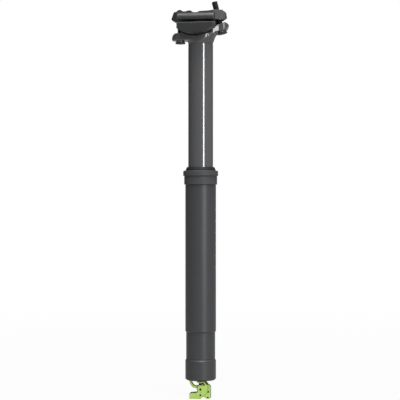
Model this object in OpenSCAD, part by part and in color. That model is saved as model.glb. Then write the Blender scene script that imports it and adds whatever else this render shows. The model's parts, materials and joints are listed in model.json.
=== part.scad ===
// Dropper seatpost, cable released, fully extended.
// Z is the post axis, up. X points to the rear of the bicycle. The origin lies on the axis
// at the insertion shoulder, where the frame's seat tube ends.

/* [Outer tube] */
// Outside diameter of the outer tube, which the frame's seat tube takes
tube_d = 30.9; // [30.6:0.1:32.6]
// Wall of the outer tube
tube_wall = 1.925; // [1.85:0.025:2.1]
// Length of the outer tube below the shoulder, beyond the travel
overlap_len = 49.9; // [45:0.1:80]
// Depth of the turned relief near the foot of the outer tube
relief_depth = 0.825; // [0.4:0.025:1]
// Length of the turned relief
relief_len = 27.4; // [15:0.2:40]
// Depth of the thread at the top of the outer tube
thread_depth = 0.5; // [0.3:0.05:0.7]
// Length of the end ring that shows below the outer tube
end_ring_len = 21.7; // [18:0.1:30]

/* [Collar and seals] */
// How far the collar's band stands out of the outer tube, to stop the post on the frame
band_out = 1.15; // [0.9:0.05:2.2]
// Height of the collar's band
band_h = 8.7; // [7:0.1:14]
// How far the collar's flange stands out of its band
flange_out = 1; // [0.6:0.1:2]
// Height of the collar's flange
flange_h = 5.3; // [4.5:0.1:8]
// Height of the wiper seal above the flange
wiper_h = 3.8; // [3:0.1:6]
// Gap between the anti-rotation keys and the upper bushing, with the post fully up
key_gap = 2.8; // [1:0.1:8]
// Length of the lower bushing
lower_bushing_len = 14; // [8:1:15]
// Wall of the two bushings
bushing_wall = 0.95; // [0.9:0.05:1.1]

/* [Stanchion and travel] */
// Wall of the stanchion
stanchion_wall = 2.4; // [2.2:0.05:2.5]
// Travel of the post
travel = 125; // [100:5:125]
// Gap between the wiper and the head's front arm with the post fully down
arm_gap = 2.3; // [2:0.1:8]
// Width of each anti-rotation key
key_w = 2.5; // [2:0.1:4]
// Length of each anti-rotation key
key_len = 8; // [6:0.5:8]

/* [Cartridge] */
// Gap round the cartridge body in the stanchion
cartridge_gap = 0.3; // [0.2:0.05:0.5]
// Wall of the cartridge body
cartridge_wall = 1.4; // [1.2:0.05:1.7]
// Diameter of the hollow rod
rod_d = 8; // [7.4:0.1:9]
// Diameter of the release pin in the rod
pin_d = 3; // [2.4:0.1:3.2]
// Height of the piston
piston_h = 11; // [10:0.5:12]
// Height of the floating piston
floating_h = 6; // [5:0.5:7]
// Wire of the valve's return spring
spring_wire_d = 0.6; // [0.4:0.05:0.7]
// Height of the bumper at the foot of the outer tube
bottom_bumper_h = 10.5; // [9.5:0.5:12]

/* [Head] */
// Height of the saddle tilt axis above the underside of the front arm
tilt_h = 35.9; // [35.5:0.1:37]
// Radius of the cradle's curved underside
cradle_r = 31; // [30.6:0.1:31.9]
// Gap between the cradle and the head's trough
trough_gap = 0.3; // [0.25:0.05:0.5]
// How far the head's sides stand out of the stanchion
head_out = 0.7; // [0.4:0.1:1.5]
// Half width of the front arm
front_arm_half_w = 8.5; // [7.5:0.1:9.5]
// Half width of the rear arm
rear_arm_half_w = 7.4; // [7:0.1:8.6]
// Height of the front arm
front_arm_h = 7.4; // [6:0.1:8]

/* [Saddle clamp] */
// Diameter of the saddle rails
rail_d = 7; // [7:0.1:7.4]
// Distance between the saddle rails
rail_spacing = 44; // [43:0.5:46]
// Depth of the rails below the tilt axis
rail_drop = 17.8; // [17.4:0.1:18.2]
// Length of the clamp along the rails
clamp_len = 37.6; // [36:0.2:39]
// Material of the clamp outside each rail
clamp_side = 0.45; // [0.4:0.05:3]
// Half width of the upper clamp's central spine
spine_half_w = 9; // [8.5:0.1:10]

/* [Saddle bolts] */
// Thread diameter of the saddle bolts
bolt_d = 6; // [5:0.5:6]
// Diameter of the bolt heads
bolt_head_d = 10; // [9:0.1:10.2]
// Height of the bolt heads
bolt_head_h = 1.6; // [1.4:0.1:2.6]
// Distance of the front bolt in front of the post axis
front_bolt_x = 20.8; // [20.4:0.1:21.4]
// Distance of the rear barrel nut behind the post axis
rear_nut_x = 17.1; // [16.8:0.1:17.4]
// Lean of the rear bolt towards the front
rear_bolt_tilt = 14.3; // [13.5:0.1:15]
// Length of the rear bolt that stands above its barrel nut
rear_bolt_proud = 12.7; // [6:0.2:20]
// Diameter of the barrel nuts
nut_d = 7.8; // [7.4:0.1:8]

/* [Actuator] */
// Thickness of each plate of the actuator's fork
fork_t = 2; // [1.6:0.1:3]
// Thickness of the rocker
rocker_t = 5; // [4:0.2:5.6]
// Depth of the fork below the end ring
actuator_depth = 19; // [18.6:0.1:20]
// Diameter of the rocker's pivot pin
pivot_d = 2; // [1.6:0.1:2.4]
// Lift of the release pin over the rocker's whole turn
pin_lift = 1.75; // [1.2:0.05:1.9]
// Turn of the rocker, in degrees
rocker_turn = 20; // [14:1:20]
// Bore of the stop that takes the cable housing
housing_d = 4.1; // [3.8:0.1:4.2]

/* [Hidden] */
$fn = 64;
// The running gap of a shaft in its hole, and the slack of fitted pieces in one body
run_gap = 0.05;
fit_gap = 0.05;
// The gap left between faces that only meet at a stop
stop_gap = 0.3;
eps = 0.01;

// Longer than any piece is wide, for cuts that go right through
through = 4 * tube_d;

tube_bore_r = tube_d / 2 - tube_wall;
shaft_r = tube_bore_r - fit_gap / 2 - bushing_wall - run_gap;
stanchion_bore_d = 2 * (shaft_r - stanchion_wall);
cartridge_d = stanchion_bore_d - 2 * cartridge_gap;
cartridge_bore_d = cartridge_d - 2 * cartridge_wall;
tube_below = travel + overlap_len;
relief_d = tube_d - 2 * relief_depth;
tube_thread_d = tube_d - 2 * thread_depth;
band_d = tube_d + 2 * band_out;
flange_d = band_d + 2 * flange_out;
collar_top_z = band_h + flange_h;
wiper_top_z = collar_top_z + wiper_h;
tube_top_z = collar_top_z - 3.1;
wiper_seat_r = flange_d / 2 - 2.4;
step_z = -tube_below + relief_len;

// The cap closes the tube's foot, and its floor stands level with the tube's end.
cap_spigot_h = 7;
floor_z = -tube_below;
cap_chamfer = relief_depth;
cap_end_z = floor_z - end_ring_len;
cap_recess = 8;
floor_under_z = cap_end_z + cap_recess;
rod_nut_h = 4;

// With the post fully down the cartridge rests on the bumper.
bumper_top_z = floor_z + bottom_bumper_h;
circlip_t = 1.2;
cartridge_foot_z = bumper_top_z + 0.4 + travel;
stanchion_foot_z = cartridge_foot_z - circlip_t - 1.8;
circlip_groove_r = stanchion_bore_d / 2 + 0.8;
lower_bushing_z = stanchion_foot_z + 1;
lower_groove_r = shaft_r - 0.3;
key_z = lower_bushing_z + lower_bushing_len + 1;
key_root_r = stanchion_bore_d / 2 + 1.5;
key_tip_r = shaft_r + 1.5;
key_angles = [60, 180, 300];
upper_bushing_z = key_z + key_len + key_gap;
foam_h = 3;

arm_under_z = wiper_top_z + arm_gap + travel;
seam_z = arm_under_z - 3.6;
spigot_len = 10;
cartridge_top_z = seam_z - spigot_len;

// Inside the cartridge, upwards from its foot.
guide_h = 10;
guide_top_z = cartridge_foot_z + guide_h;
top_bumper_h = 2;
piston_z = guide_top_z + top_bumper_h + stop_gap;
piston_top_z = piston_z + piston_h;
plug_h = 7;
plug_z = cartridge_top_z - plug_h;
valve_cap_h = 2;
valve_r = 3.2;
valve_floor_z = piston_z + 4;
rod_top_z = piston_z + 3;
poppet_h = 1.5;
rod_bore_r = pin_d / 2 + 0.1;
rod_ratio = pow(rod_d / cartridge_bore_d, 2);
floating_z = piston_top_z + travel * (1 - rod_ratio) + 1;

// The saddle clamp turns about the trough's axis, which is parallel to Y.
tilt_x = -3;
tilt_z = arm_under_z + tilt_h;
trough_r = cradle_r + trough_gap;
rail_z = tilt_z - rail_drop;
rail_seat_r = rail_d / 2 + 0.05;
clamp_w = rail_spacing + 2 * (rail_seat_r + clamp_side);
clamp_front_x = -20;
clamp_rear_x = clamp_front_x + clamp_len;
nut_z = rail_z + 9;
nut_r = nut_d / 2;
bolt_r = bolt_d / 2;
washer_r = bolt_head_d / 2 - 0.8;
washer_h = 2.2;
washer_seat_r = 10;
washer_gap = 0.15;
seat_depth = 0.9;
head_half_w = shaft_r + head_out;
front_grip = nut_z - arm_under_z - seat_depth;
rear_grip = 17.7 + (tilt_h - 35.9) - (rail_drop - 17.8);
rear_seat_x = rear_nut_x + rear_grip * sin(rear_bolt_tilt);
rear_seat_z = nut_z - rear_grip * cos(rear_bolt_tilt);
bolt_hole_r = bolt_r + 1;
nut_half_w = 4.6;
rear_flat_out = 2.7;
arm_slot_half_w = rear_arm_half_w + rear_flat_out + 0.8;
arm_foot_x = 13.6;
lip_x = -18.8;

// The actuator's pivot lies below the release pin.
pivot_x = 0.5;
pivot_z = cap_end_z - 9.4;
foot_r = 2.75;
neck_r = 3.9;
foot_z = cap_end_z - 3;
cam_r = 4;
cam_rise = pin_lift / rocker_turn;
pin_foot_z = pivot_z + cam_r + stop_gap;
pin_tip_r = 0.4;
pin_point_h = 1.3;
fork_gap = rocker_t / 2 + 0.5;
fork_out = fork_gap + fork_t;
fork_foot_z = cap_end_z - actuator_depth;
fork_top_z = cap_end_z - 5.1;
block_x = -10.8;
block_w = 6.2;
block_top_z = fork_foot_z + 5.6;
housing_x = block_x + block_w / 2;
small_hole_r = 0.8;
stop_pin_z = pivot_z - 5.8;

GREEN = [0.60, 0.76, 0.30];
GREY = [0.20, 0.205, 0.21];
DARK = [0.13, 0.13, 0.135];
STEEL = [0.62, 0.63, 0.65];
BLACK = [0.06, 0.06, 0.065];
BRASS = [0.72, 0.56, 0.26];

// Turns a profile drawn in X and Y into a slab in X and Z, centred on Y = 0
module slab(width) {
    rotate([90, 0, 0]) linear_extrude(width, center = true) children();
}

// A rod parallel to Y
module cross_rod(x, z, r, length) {
    translate([x, 0, z]) rotate([90, 0, 0]) cylinder(r = r, h = length, center = true);
}

// A ring between two heights
module ring(r_out, r_in, z_low, z_high) {
    difference() {
        translate([0, 0, z_low]) cylinder(r = r_out, h = z_high - z_low);
        translate([0, 0, z_low - 1]) cylinder(r = r_in, h = z_high - z_low + 2);
    }
}

// A round seal of a round section
module o_ring(mid_r, section_d, z) {
    translate([0, 0, z]) rotate_extrude() translate([mid_r, 0]) circle(d = section_d, $fn = 24);
}

// The groove of such a seal, cut from the outside
module o_ring_groove(outer_r, section_d, z) {
    ring(outer_r + 1, outer_r - section_d * 0.85, z - section_d * 0.65, z + section_d * 0.65);
}

// Puts children at the three keys
module at_keys() {
    for (a = key_angles) rotate([0, 0, a]) children();
}

// Points of a circular arc
function arc(x, z, r, from, to, steps) =
    [for (i = [0:steps]) let (a = from + (to - from) * i / steps) [x + r * cos(a), z + r * sin(a)]];

/* Outer tube group */

tube_seal_z = band_h / 2;
tube_seal_d = 1.2;

module lower_tube() {
    color(GREY) difference() {
        rotate_extrude() polygon([
            [tube_bore_r, floor_z],
            [relief_d / 2, floor_z],
            [relief_d / 2, step_z - cap_chamfer],
            [tube_d / 2, step_z],
            [tube_d / 2, 0],
            [tube_thread_d / 2, 0],
            [tube_thread_d / 2, tube_top_z],
            [tube_bore_r, tube_top_z]
        ]);
        translate([0, 0, floor_z - 1])
            linear_extrude(upper_bushing_z + 0.9 - floor_z + 1)
                at_keys() translate([0, -key_w / 2 - 0.1])
                    square([key_tip_r + 0.1, key_w + 0.2]);
        o_ring_groove(tube_thread_d / 2, tube_seal_d, tube_seal_z);
    }
}

module collar_o_ring() {
    color(BLACK) o_ring(tube_thread_d / 2 - tube_seal_d * 0.4, tube_seal_d * 0.8, tube_seal_z);
}

module collar() {
    color(GREY) rotate_extrude() polygon([
        [tube_thread_d / 2 + fit_gap, 0],
        [band_d / 2 - 0.5, 0],
        [band_d / 2, 0.5],
        [band_d / 2, band_h],
        [flange_d / 2 - 0.4, band_h],
        [flange_d / 2, band_h + 0.4],
        [flange_d / 2, collar_top_z - 0.5],
        [flange_d / 2 - 0.5, collar_top_z],
        [wiper_seat_r + fit_gap, collar_top_z],
        [wiper_seat_r + fit_gap, tube_top_z + 0.1],
        [tube_thread_d / 2 + fit_gap, tube_top_z + 0.1]
    ]);
}

module wiper_seal() {
    lip_r = shaft_r + 0.1;
    color(BLACK) rotate_extrude() polygon([
        [lip_r + 0.6, tube_top_z + 0.15],
        [wiper_seat_r, tube_top_z + 0.15],
        [wiper_seat_r, collar_top_z],
        [wiper_seat_r - 0.4, collar_top_z + wiper_h * 0.45],
        [wiper_seat_r - 0.9, collar_top_z + wiper_h * 0.5],
        [wiper_seat_r - 0.8, collar_top_z + wiper_h * 0.76],
        [lip_r + 1.1, wiper_top_z],
        [lip_r, wiper_top_z],
        [lip_r, wiper_top_z - 0.8],
        [lip_r + 0.6, wiper_top_z - 1.6]
    ]);
}

module foam_ring() {
    color(DARK) ring(tube_bore_r - fit_gap, shaft_r + 0.1, tube_top_z - foam_h, tube_top_z);
}

module upper_bushing() {
    color(STEEL) ring(tube_bore_r - fit_gap / 2, shaft_r + run_gap,
                      upper_bushing_z, tube_top_z - foam_h - 0.1);
}

cap_spigot_r = tube_bore_r - fit_gap;
cap_seal_z = floor_z + cap_spigot_h * 0.55;
cap_seal_d = 1;

module end_cap() {
    recess_r = tube_d / 2 - 1.6;
    bumper_room_r = cap_spigot_r - 2.2;
    color(GREY) difference() {
        rotate_extrude() polygon([
            [rod_d / 2 + fit_gap, floor_under_z],
            [recess_r, floor_under_z],
            [recess_r, cap_end_z],
            [tube_d / 2 - 1.2, cap_end_z],
            [tube_d / 2 - 0.35, cap_end_z + 0.35],
            [tube_d / 2, cap_end_z + 1.2],
            [tube_d / 2, floor_z - 2],
            [relief_d / 2, floor_z - 2 + cap_chamfer],
            [relief_d / 2, floor_z],
            [cap_spigot_r, floor_z],
            [cap_spigot_r, floor_z + cap_spigot_h],
            [bumper_room_r, floor_z + cap_spigot_h],
            [bumper_room_r, floor_z],
            [rod_d / 2 + fit_gap, floor_z]
        ]);
        o_ring_groove(cap_spigot_r, cap_seal_d, cap_seal_z);
    }
}

module end_cap_o_ring() {
    color(BLACK) o_ring(cap_spigot_r - cap_seal_d * 0.4, cap_seal_d * 0.8, cap_seal_z);
}

module rod_nut() {
    color(STEEL) difference() {
        translate([0, 0, floor_under_z - rod_nut_h]) cylinder(d = rod_d + 7, h = rod_nut_h, $fn = 6);
        translate([0, 0, floor_under_z - rod_nut_h - 1]) cylinder(r = rod_d / 2 + fit_gap, h = rod_nut_h + 2);
    }
}

module bottom_out_bumper() {
    wide_r = stanchion_bore_d / 2 - 2;
    color(BLACK) rotate_extrude() polygon([
        [rod_d / 2 + 0.1, floor_z],
        [wide_r, floor_z],
        [wide_r, bumper_top_z - 3],
        [wide_r - 1.4, bumper_top_z],
        [rod_d / 2 + 0.1, bumper_top_z]
    ]);
}

/* Cartridge rod group */

module cartridge_rod() {
    color(STEEL) rotate_extrude() polygon([
        [rod_bore_r, foot_z],
        [foot_r, foot_z],
        [foot_r, floor_under_z - rod_nut_h - 0.5],
        [rod_d / 2, floor_under_z - rod_nut_h - 0.5],
        [rod_d / 2, rod_top_z],
        [rod_bore_r, rod_top_z]
    ]);
}

piston_seal_d = 1.4;
piston_seal_z = piston_top_z - 3.2;
piston_r = cartridge_bore_d / 2 - 0.1;

module piston() {
    color("silver") difference() {
        translate([0, 0, piston_z]) cylinder(r = piston_r, h = piston_h);
        translate([0, 0, piston_z - 1]) cylinder(r = rod_d / 2 + fit_gap, h = rod_top_z - piston_z + 1);
        translate([0, 0, piston_z]) cylinder(r = rod_bore_r, h = piston_h);
        translate([0, 0, valve_floor_z]) cylinder(r = valve_r, h = piston_h);
        o_ring_groove(piston_r, piston_seal_d, piston_seal_z);
    }
}

module piston_seal() {
    color(BLACK) o_ring(piston_r - piston_seal_d * 0.42, piston_seal_d * 0.7, piston_seal_z);
}

module valve_cap() {
    color("silver") ring(valve_r - fit_gap, 1, piston_top_z - valve_cap_h, piston_top_z);
}

module release_pin() {
    color(STEEL) {
        translate([0, 0, pin_foot_z]) cylinder(r1 = pin_tip_r, d2 = pin_d, h = pin_point_h);
        translate([0, 0, pin_foot_z + pin_point_h - eps])
            cylinder(d = pin_d, h = valve_floor_z - pin_foot_z - pin_point_h + 0.2);
        translate([0, 0, valve_floor_z + 0.1]) cylinder(r = valve_r - 0.5, h = poppet_h);
    }
}

// The return spring, one tube swept along a helix with straight ends
spring_foot_z = valve_floor_z + 0.1 + poppet_h + 0.05;
spring_head_z = piston_top_z - valve_cap_h - 0.05;
spring_turns = 3;
spring_rings = 16;
spring_sides = 6;
spring_r = valve_r - 0.45 - spring_wire_d / 2;
spring_rise = spring_head_z - spring_foot_z - spring_wire_d;

function coil_point(i) =
    let (t = i / spring_rings, turn = 360 * t)
    [spring_r * cos(turn), spring_r * sin(turn),
     spring_foot_z + spring_wire_d / 2 + spring_rise * t / spring_turns];

function coil_ring(i) =
    let (p = coil_point(i), turn = 360 * i / spring_rings)
    [for (s = [0:spring_sides - 1])
        let (a = 360 * s / spring_sides, out = cos(a) * spring_wire_d / 2)
        [p[0] + out * cos(turn), p[1] + out * sin(turn), p[2] + sin(a) * spring_wire_d / 2]];

module return_spring() {
    count = spring_turns * spring_rings;
    points = [for (i = [0:count]) each coil_ring(i)];
    sides = [for (i = [0:count - 1], s = [0:spring_sides - 1])
        let (a = i * spring_sides + s, b = i * spring_sides + (s + 1) % spring_sides)
        each [[a, a + spring_sides, b + spring_sides], [a, b + spring_sides, b]]];
    foot = [for (s = [1:spring_sides - 2]) [0, s, s + 1]];
    last = count * spring_sides;
    head = [for (s = [1:spring_sides - 2]) [last, last + s + 1, last + s]];
    color(STEEL) polyhedron(points, concat(sides, foot, head));
}

module top_out_bumper() {
    color(BLACK) ring(cartridge_bore_d / 2 - 1, rod_d / 2 + 0.3, guide_top_z, guide_top_z + top_bumper_h);
}

/* Upper post group */

module stanchion() {
    color(GREY) difference() {
        translate([0, 0, stanchion_foot_z]) cylinder(r = shaft_r, h = seam_z - stanchion_foot_z);
        translate([0, 0, stanchion_foot_z - 1])
            cylinder(d = stanchion_bore_d, h = seam_z - stanchion_foot_z + 2);
        translate([0, 0, cartridge_foot_z - circlip_t]) cylinder(r = circlip_groove_r, h = circlip_t);
        ring(shaft_r + 1, lower_groove_r, lower_bushing_z, lower_bushing_z + lower_bushing_len);
        at_keys() translate([key_root_r - fit_gap, -key_w / 2 - fit_gap, key_z])
            cube([shaft_r, key_w + 2 * fit_gap, key_len]);
    }
}

module lower_bushing() {
    split = 0.8;
    color(BRASS) difference() {
        ring(tube_bore_r - run_gap, lower_groove_r + fit_gap,
             lower_bushing_z + 0.1, lower_bushing_z + lower_bushing_len - 0.1);
        translate([-tube_bore_r, -split / 2, lower_bushing_z])
            cube([2 * tube_bore_r, split, lower_bushing_len]);
    }
}

module guide_keys() {
    color(BRASS) at_keys() translate([key_root_r, -key_w / 2, key_z + fit_gap])
        cube([key_tip_r - key_root_r, key_w, key_len - 2 * fit_gap]);
}

module cartridge_body() {
    color(STEEL) ring(cartridge_d / 2, cartridge_bore_d / 2, cartridge_foot_z, cartridge_top_z);
}

rod_seal_d = 1.4;
rod_seal_z = cartridge_foot_z + 3;

module rod_guide() {
    color("silver") difference() {
        ring(cartridge_bore_d / 2 - fit_gap, rod_d / 2 + run_gap, cartridge_foot_z, guide_top_z);
        translate([0, 0, rod_seal_z - rod_seal_d / 2])
            cylinder(r = rod_d / 2 + rod_seal_d, h = rod_seal_d);
    }
}

module rod_seal() {
    color(BLACK) o_ring(rod_d / 2 + run_gap + rod_seal_d / 2, rod_seal_d * 0.9, rod_seal_z);
}

module cartridge_circlip() {
    low_z = cartridge_foot_z - circlip_t + fit_gap;
    color(STEEL) difference() {
        ring(circlip_groove_r - 0.1, stanchion_bore_d / 2 - 1.2, low_z, cartridge_foot_z);
        translate([0, -1.5, low_z - 1]) cube([circlip_groove_r + 1, 3, circlip_t + 2]);
    }
}

fill_r = 2;

module cartridge_top_plug() {
    color("silver") ring(cartridge_bore_d / 2 - fit_gap, fill_r + fit_gap, plug_z, cartridge_top_z);
}

module fill_screw() {
    hex_d = 2.3;
    color(STEEL) difference() {
        translate([0, 0, plug_z + 1]) cylinder(r = fill_r, h = plug_h - 1.3);
        translate([0, 0, cartridge_top_z - 2.3]) cylinder(d = hex_d, h = 3, $fn = 6);
    }
}

floating_seal_d = 1.4;

module floating_piston() {
    color("silver") difference() {
        translate([0, 0, floating_z]) cylinder(r = piston_r, h = floating_h);
        o_ring_groove(piston_r, floating_seal_d, floating_z + floating_h / 2);
        translate([0, 0, floating_z + floating_h * 0.4]) cylinder(r = piston_r * 0.4, h = floating_h);
    }
}

module floating_piston_seal() {
    color(BLACK) o_ring(piston_r - floating_seal_d * 0.42, floating_seal_d * 0.7,
                        floating_z + floating_h / 2);
}

/* Head */

// Moves children into the rear bolt's own axis, with its washer's crown at the origin
module at_rear_bolt() {
    translate([rear_seat_x, 0, rear_seat_z]) rotate([0, -rear_bolt_tilt, 0]) children();
}

module at_front_bolt() {
    translate([-front_bolt_x, 0, nut_z - front_grip]) children();
}

function on_rear_axis(across, along) =
    [rear_seat_x + across * cos(rear_bolt_tilt) - along * sin(rear_bolt_tilt),
     rear_seat_z + across * sin(rear_bolt_tilt) + along * cos(rear_bolt_tilt)];

// Side view of the head above the underside of its front arm, before the trough is cut
module head_side() {
    front_end_x = -front_bolt_x - front_arm_half_w;
    nose_r = front_arm_h - 1.5;
    seat_half = bolt_head_d / 2;
    end_r = 3;
    polygon(concat(
        [[0, arm_under_z], [0, neck_top_z], [under_wall_x, neck_top_z]],
        [on_rear_axis(-seat_half - 0.4, -seat_depth), on_rear_axis(seat_half, -seat_depth)],
        arc(rear_seat_x + end_r + 0.9, arm_under_z + 14.7, end_r, -32, 112, 8),
        [[arm_foot_x, arm_under_z + 12.6], [lip_x, arm_under_z + 9], [lip_x, arm_under_z + front_arm_h]],
        arc(front_end_x + nose_r, arm_under_z + front_arm_h - nose_r, nose_r, 90, 180, 8),
        [[front_end_x, arm_under_z + 0.9], [front_end_x + 0.9, arm_under_z]]
    ));
}

// The neck, turned on the post axis, which flares from the stanchion into the two arms
under_wall_x = rear_seat_x - bolt_head_d / 2 + 0.1;
neck_top_z = arm_under_z + 6.2;

module head_neck() {
    front_r = 2.5;
    flare = [[0, 1.6], [0.35, 1.9], [0.75, 2.6], [1.05, 3.5], [1.3, 4.4], [1.65, 5.4], [2.1, 6.4], [2.75, 7.6]];
    rotate_extrude() polygon(concat(
        [[0, seam_z], [shaft_r, seam_z]],
        [for (p = flare) [shaft_r + p[0], seam_z + p[1]]],
        [[under_wall_x, neck_top_z + eps], [0, neck_top_z + eps]]
    ));
    difference() {
        rotate_extrude() polygon(concat(
            [[0, seam_z], [shaft_r, seam_z]],
            arc(shaft_r + front_r, arm_under_z - front_r, front_r, 180, 90, 6),
            [[0, arm_under_z + eps]]
        ));
        translate([0, -tube_d, seam_z - 1]) cube([tube_d, 2 * tube_d, tube_d]);
    }
}

// Plan view of the head, whose rear arm has a slanted flat on each side
module head_plan() {
    rear_x = rear_seat_x + 0.4;
    circle(r = shaft_r);
    translate([2.4, 0]) circle(r = head_half_w);
    translate([-front_bolt_x, 0]) circle(r = front_arm_half_w);
    translate([rear_x, 0]) circle(r = rear_arm_half_w);
    polygon([
        [-front_bolt_x, front_arm_half_w],
        [-front_bolt_x, -front_arm_half_w],
        [-4, -head_half_w + 1],
        [-4, head_half_w - 1]
    ]);
    for (side = [0, 1]) mirror([0, side]) polygon([
        [0, 0],
        [rear_x, 0],
        [rear_x, rear_arm_half_w],
        [rear_x - 1.7, rear_arm_half_w],
        [rear_x - 8.2, rear_arm_half_w + rear_flat_out],
        [9, head_half_w - 2],
        [2.4, head_half_w]
    ]);
}

// The bolt's hole and the curved seat of its washer, in the bolt's own axis
module bolt_seat() {
    translate([0, 0, -seat_depth - 6]) cylinder(r = bolt_hole_r, h = through);
    intersection() {
        cross_rod(0, -washer_seat_r, washer_seat_r + washer_gap, through);
        translate([0, 0, -washer_h]) cylinder(r = washer_r + 0.6, h = washer_h + 1);
    }
}

module seat_head() {
    head_h = tilt_z - seam_z;
    hollow_r = 6.5;
    color(GREY) difference() {
        union() {
            intersection() {
                union() {
                    slab(4 * head_half_w) head_side();
                    head_neck();
                }
                translate([0, 0, seam_z]) linear_extrude(head_h) head_plan();
            }
            translate([0, 0, cartridge_top_z])
                cylinder(d = stanchion_bore_d - 2 * fit_gap, h = spigot_len + 1);
        }
        intersection() {
            cross_rod(tilt_x, tilt_z, trough_r, 4 * head_half_w);
            translate([arm_foot_x - 2 * trough_r, -2 * head_half_w, seam_z])
                cube([2 * trough_r, 4 * head_half_w, head_h]);
        }
        translate([0, 0, cartridge_top_z - 1]) cylinder(r = hollow_r, h = spigot_len + 3.6);
        at_front_bolt() bolt_seat();
        at_rear_bolt() bolt_seat();
    }
}

/* Saddle bolts, drawn along Z with the washer's crown at the origin */

module bolt(reach) {
    socket_d = bolt_d * 0.75;
    head_z = -washer_h - bolt_head_h;
    difference() {
        union() {
            translate([0, 0, -washer_h - eps]) cylinder(d = bolt_d, h = reach + washer_h - 0.5);
            translate([0, 0, reach - 0.6]) cylinder(d1 = bolt_d, d2 = bolt_d - 1.2, h = 0.6);
            translate([0, 0, head_z + 0.5]) cylinder(d = bolt_head_d, h = bolt_head_h - 0.5);
            translate([0, 0, head_z]) cylinder(d1 = bolt_head_d - 1, d2 = bolt_head_d, h = 0.5);
        }
        translate([0, 0, head_z - 1]) cylinder(d = socket_d, h = 3.6, $fn = 6);
    }
}

module half_round_washer() {
    difference() {
        intersection() {
            translate([0, 0, -washer_h]) cylinder(r = washer_r, h = washer_h);
            cross_rod(0, -washer_seat_r, washer_seat_r, 4 * washer_r);
        }
        translate([0, 0, -washer_h - 1]) cylinder(r = bolt_r + fit_gap, h = washer_h + 2);
    }
}

// A cross nut, drawn on its own centre
module barrel_nut() {
    difference() {
        cross_rod(0, 0, nut_r, 2 * nut_half_w);
        cylinder(r = bolt_r + 0.25, h = 2 * nut_d, center = true);
    }
}

module front_bolt() {
    color(DARK) at_front_bolt() bolt(front_grip + nut_r - 0.6);
}

module front_washer() {
    color(STEEL) at_front_bolt() half_round_washer();
}

module front_barrel_nut() {
    color(DARK) translate([-front_bolt_x, 0, nut_z]) barrel_nut();
}

module rear_bolt() {
    color(DARK) at_rear_bolt() bolt(rear_grip + rear_bolt_proud);
}

module rear_washer() {
    color(STEEL) at_rear_bolt() half_round_washer();
}

module rear_barrel_nut() {
    color(DARK) translate([rear_nut_x, 0, nut_z]) rotate([0, -rear_bolt_tilt, 0]) barrel_nut();
}

/* Rail clamp */

module rails() {
    for (side = [-1, 1])
        translate([-through / 2, side * rail_spacing / 2, rail_z]) rotate([0, 90, 0])
            cylinder(r = rail_seat_r, h = through);
}

// A slot along X with round ends
module slot(from_x, to_x, r, z_low, z_high) {
    for (x = [from_x, to_x]) translate([x, 0, z_low]) cylinder(r = r, h = z_high - z_low);
    translate([from_x, -r, z_low]) cube([to_x - from_x, 2 * r, z_high - z_low]);
}

// Cross section of the cradle, with y outwards and z up, whose lower corners are rounded
module cradle_section(lip_z) {
    round_w = 7;
    round_h = 4.4;
    foot_z = tilt_z - cradle_r;
    side = [for (i = [0:8]) let (a = 90 * i / 8)
        [clamp_w / 2 - round_w + round_w * sin(a), foot_z + round_h - round_h * cos(a)]];
    polygon(concat(
        side,
        [[clamp_w / 2, lip_z], [-clamp_w / 2, lip_z]],
        [for (i = [8:-1:0]) [-side[i][0], side[i][1]]]
    ));
}

module lower_cradle() {
    lip_z = rail_z - 0.6;
    bevel = 2;
    wall = 5.5;
    pocket_half_w = rail_spacing / 2 - rail_seat_r - 3;
    pocket_x = -12;
    pocket_len = 17;
    front_slot_x = -14.5;
    rear_slot_x = 7.7;
    floor_top_z = tilt_z - cradle_r + wall;
    color(GREY) difference() {
        intersection() {
            cross_rod(tilt_x, tilt_z, cradle_r, clamp_w);
            translate([clamp_front_x, 0, 0]) rotate([90, 0, 90]) linear_extrude(clamp_len)
                cradle_section(lip_z);
        }
        rails();
        translate([pocket_x, -pocket_half_w, floor_top_z]) cube([pocket_len, 2 * pocket_half_w, through]);
        translate([front_slot_x - through, -bolt_r - 1.5, 0]) cube([through, bolt_d + 3, lip_z]);
        translate([rear_slot_x, -arm_slot_half_w, 0]) cube([clamp_rear_x, 2 * arm_slot_half_w, lip_z + 1]);
        for (side = [0, 1]) mirror([0, side, 0])
            translate([clamp_front_x - 1, clamp_w / 2, lip_z - bevel]) rotate([45, 0, 0])
                cube([clamp_len + 2, 4 * bevel, 4 * bevel]);
    }
}

// Cross section of one wing, with y outwards and z up, for the right-hand rail
module wing_section() {
    half = clamp_w / 2;
    round_r = 6.5;
    foot_z = rail_z + 0.6;
    polygon(concat(
        [[rail_spacing / 2 - rail_seat_r - 1.4, foot_z], [half, foot_z]],
        arc(half - round_r, foot_z + 1.2, round_r, 0, 90, 10),
        [[rail_spacing / 2 - rail_seat_r - 1.4, foot_z + 1.2 + round_r]]
    ));
}

module wing() {
    notch_x = -4.5;
    notch_len = 5.5;
    difference() {
        translate([clamp_front_x, 0, 0]) rotate([90, 0, 90]) linear_extrude(clamp_len) wing_section();
        translate([notch_x, 0, rail_z + 7.2]) cube([notch_len, clamp_w, 10]);
    }
}

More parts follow.
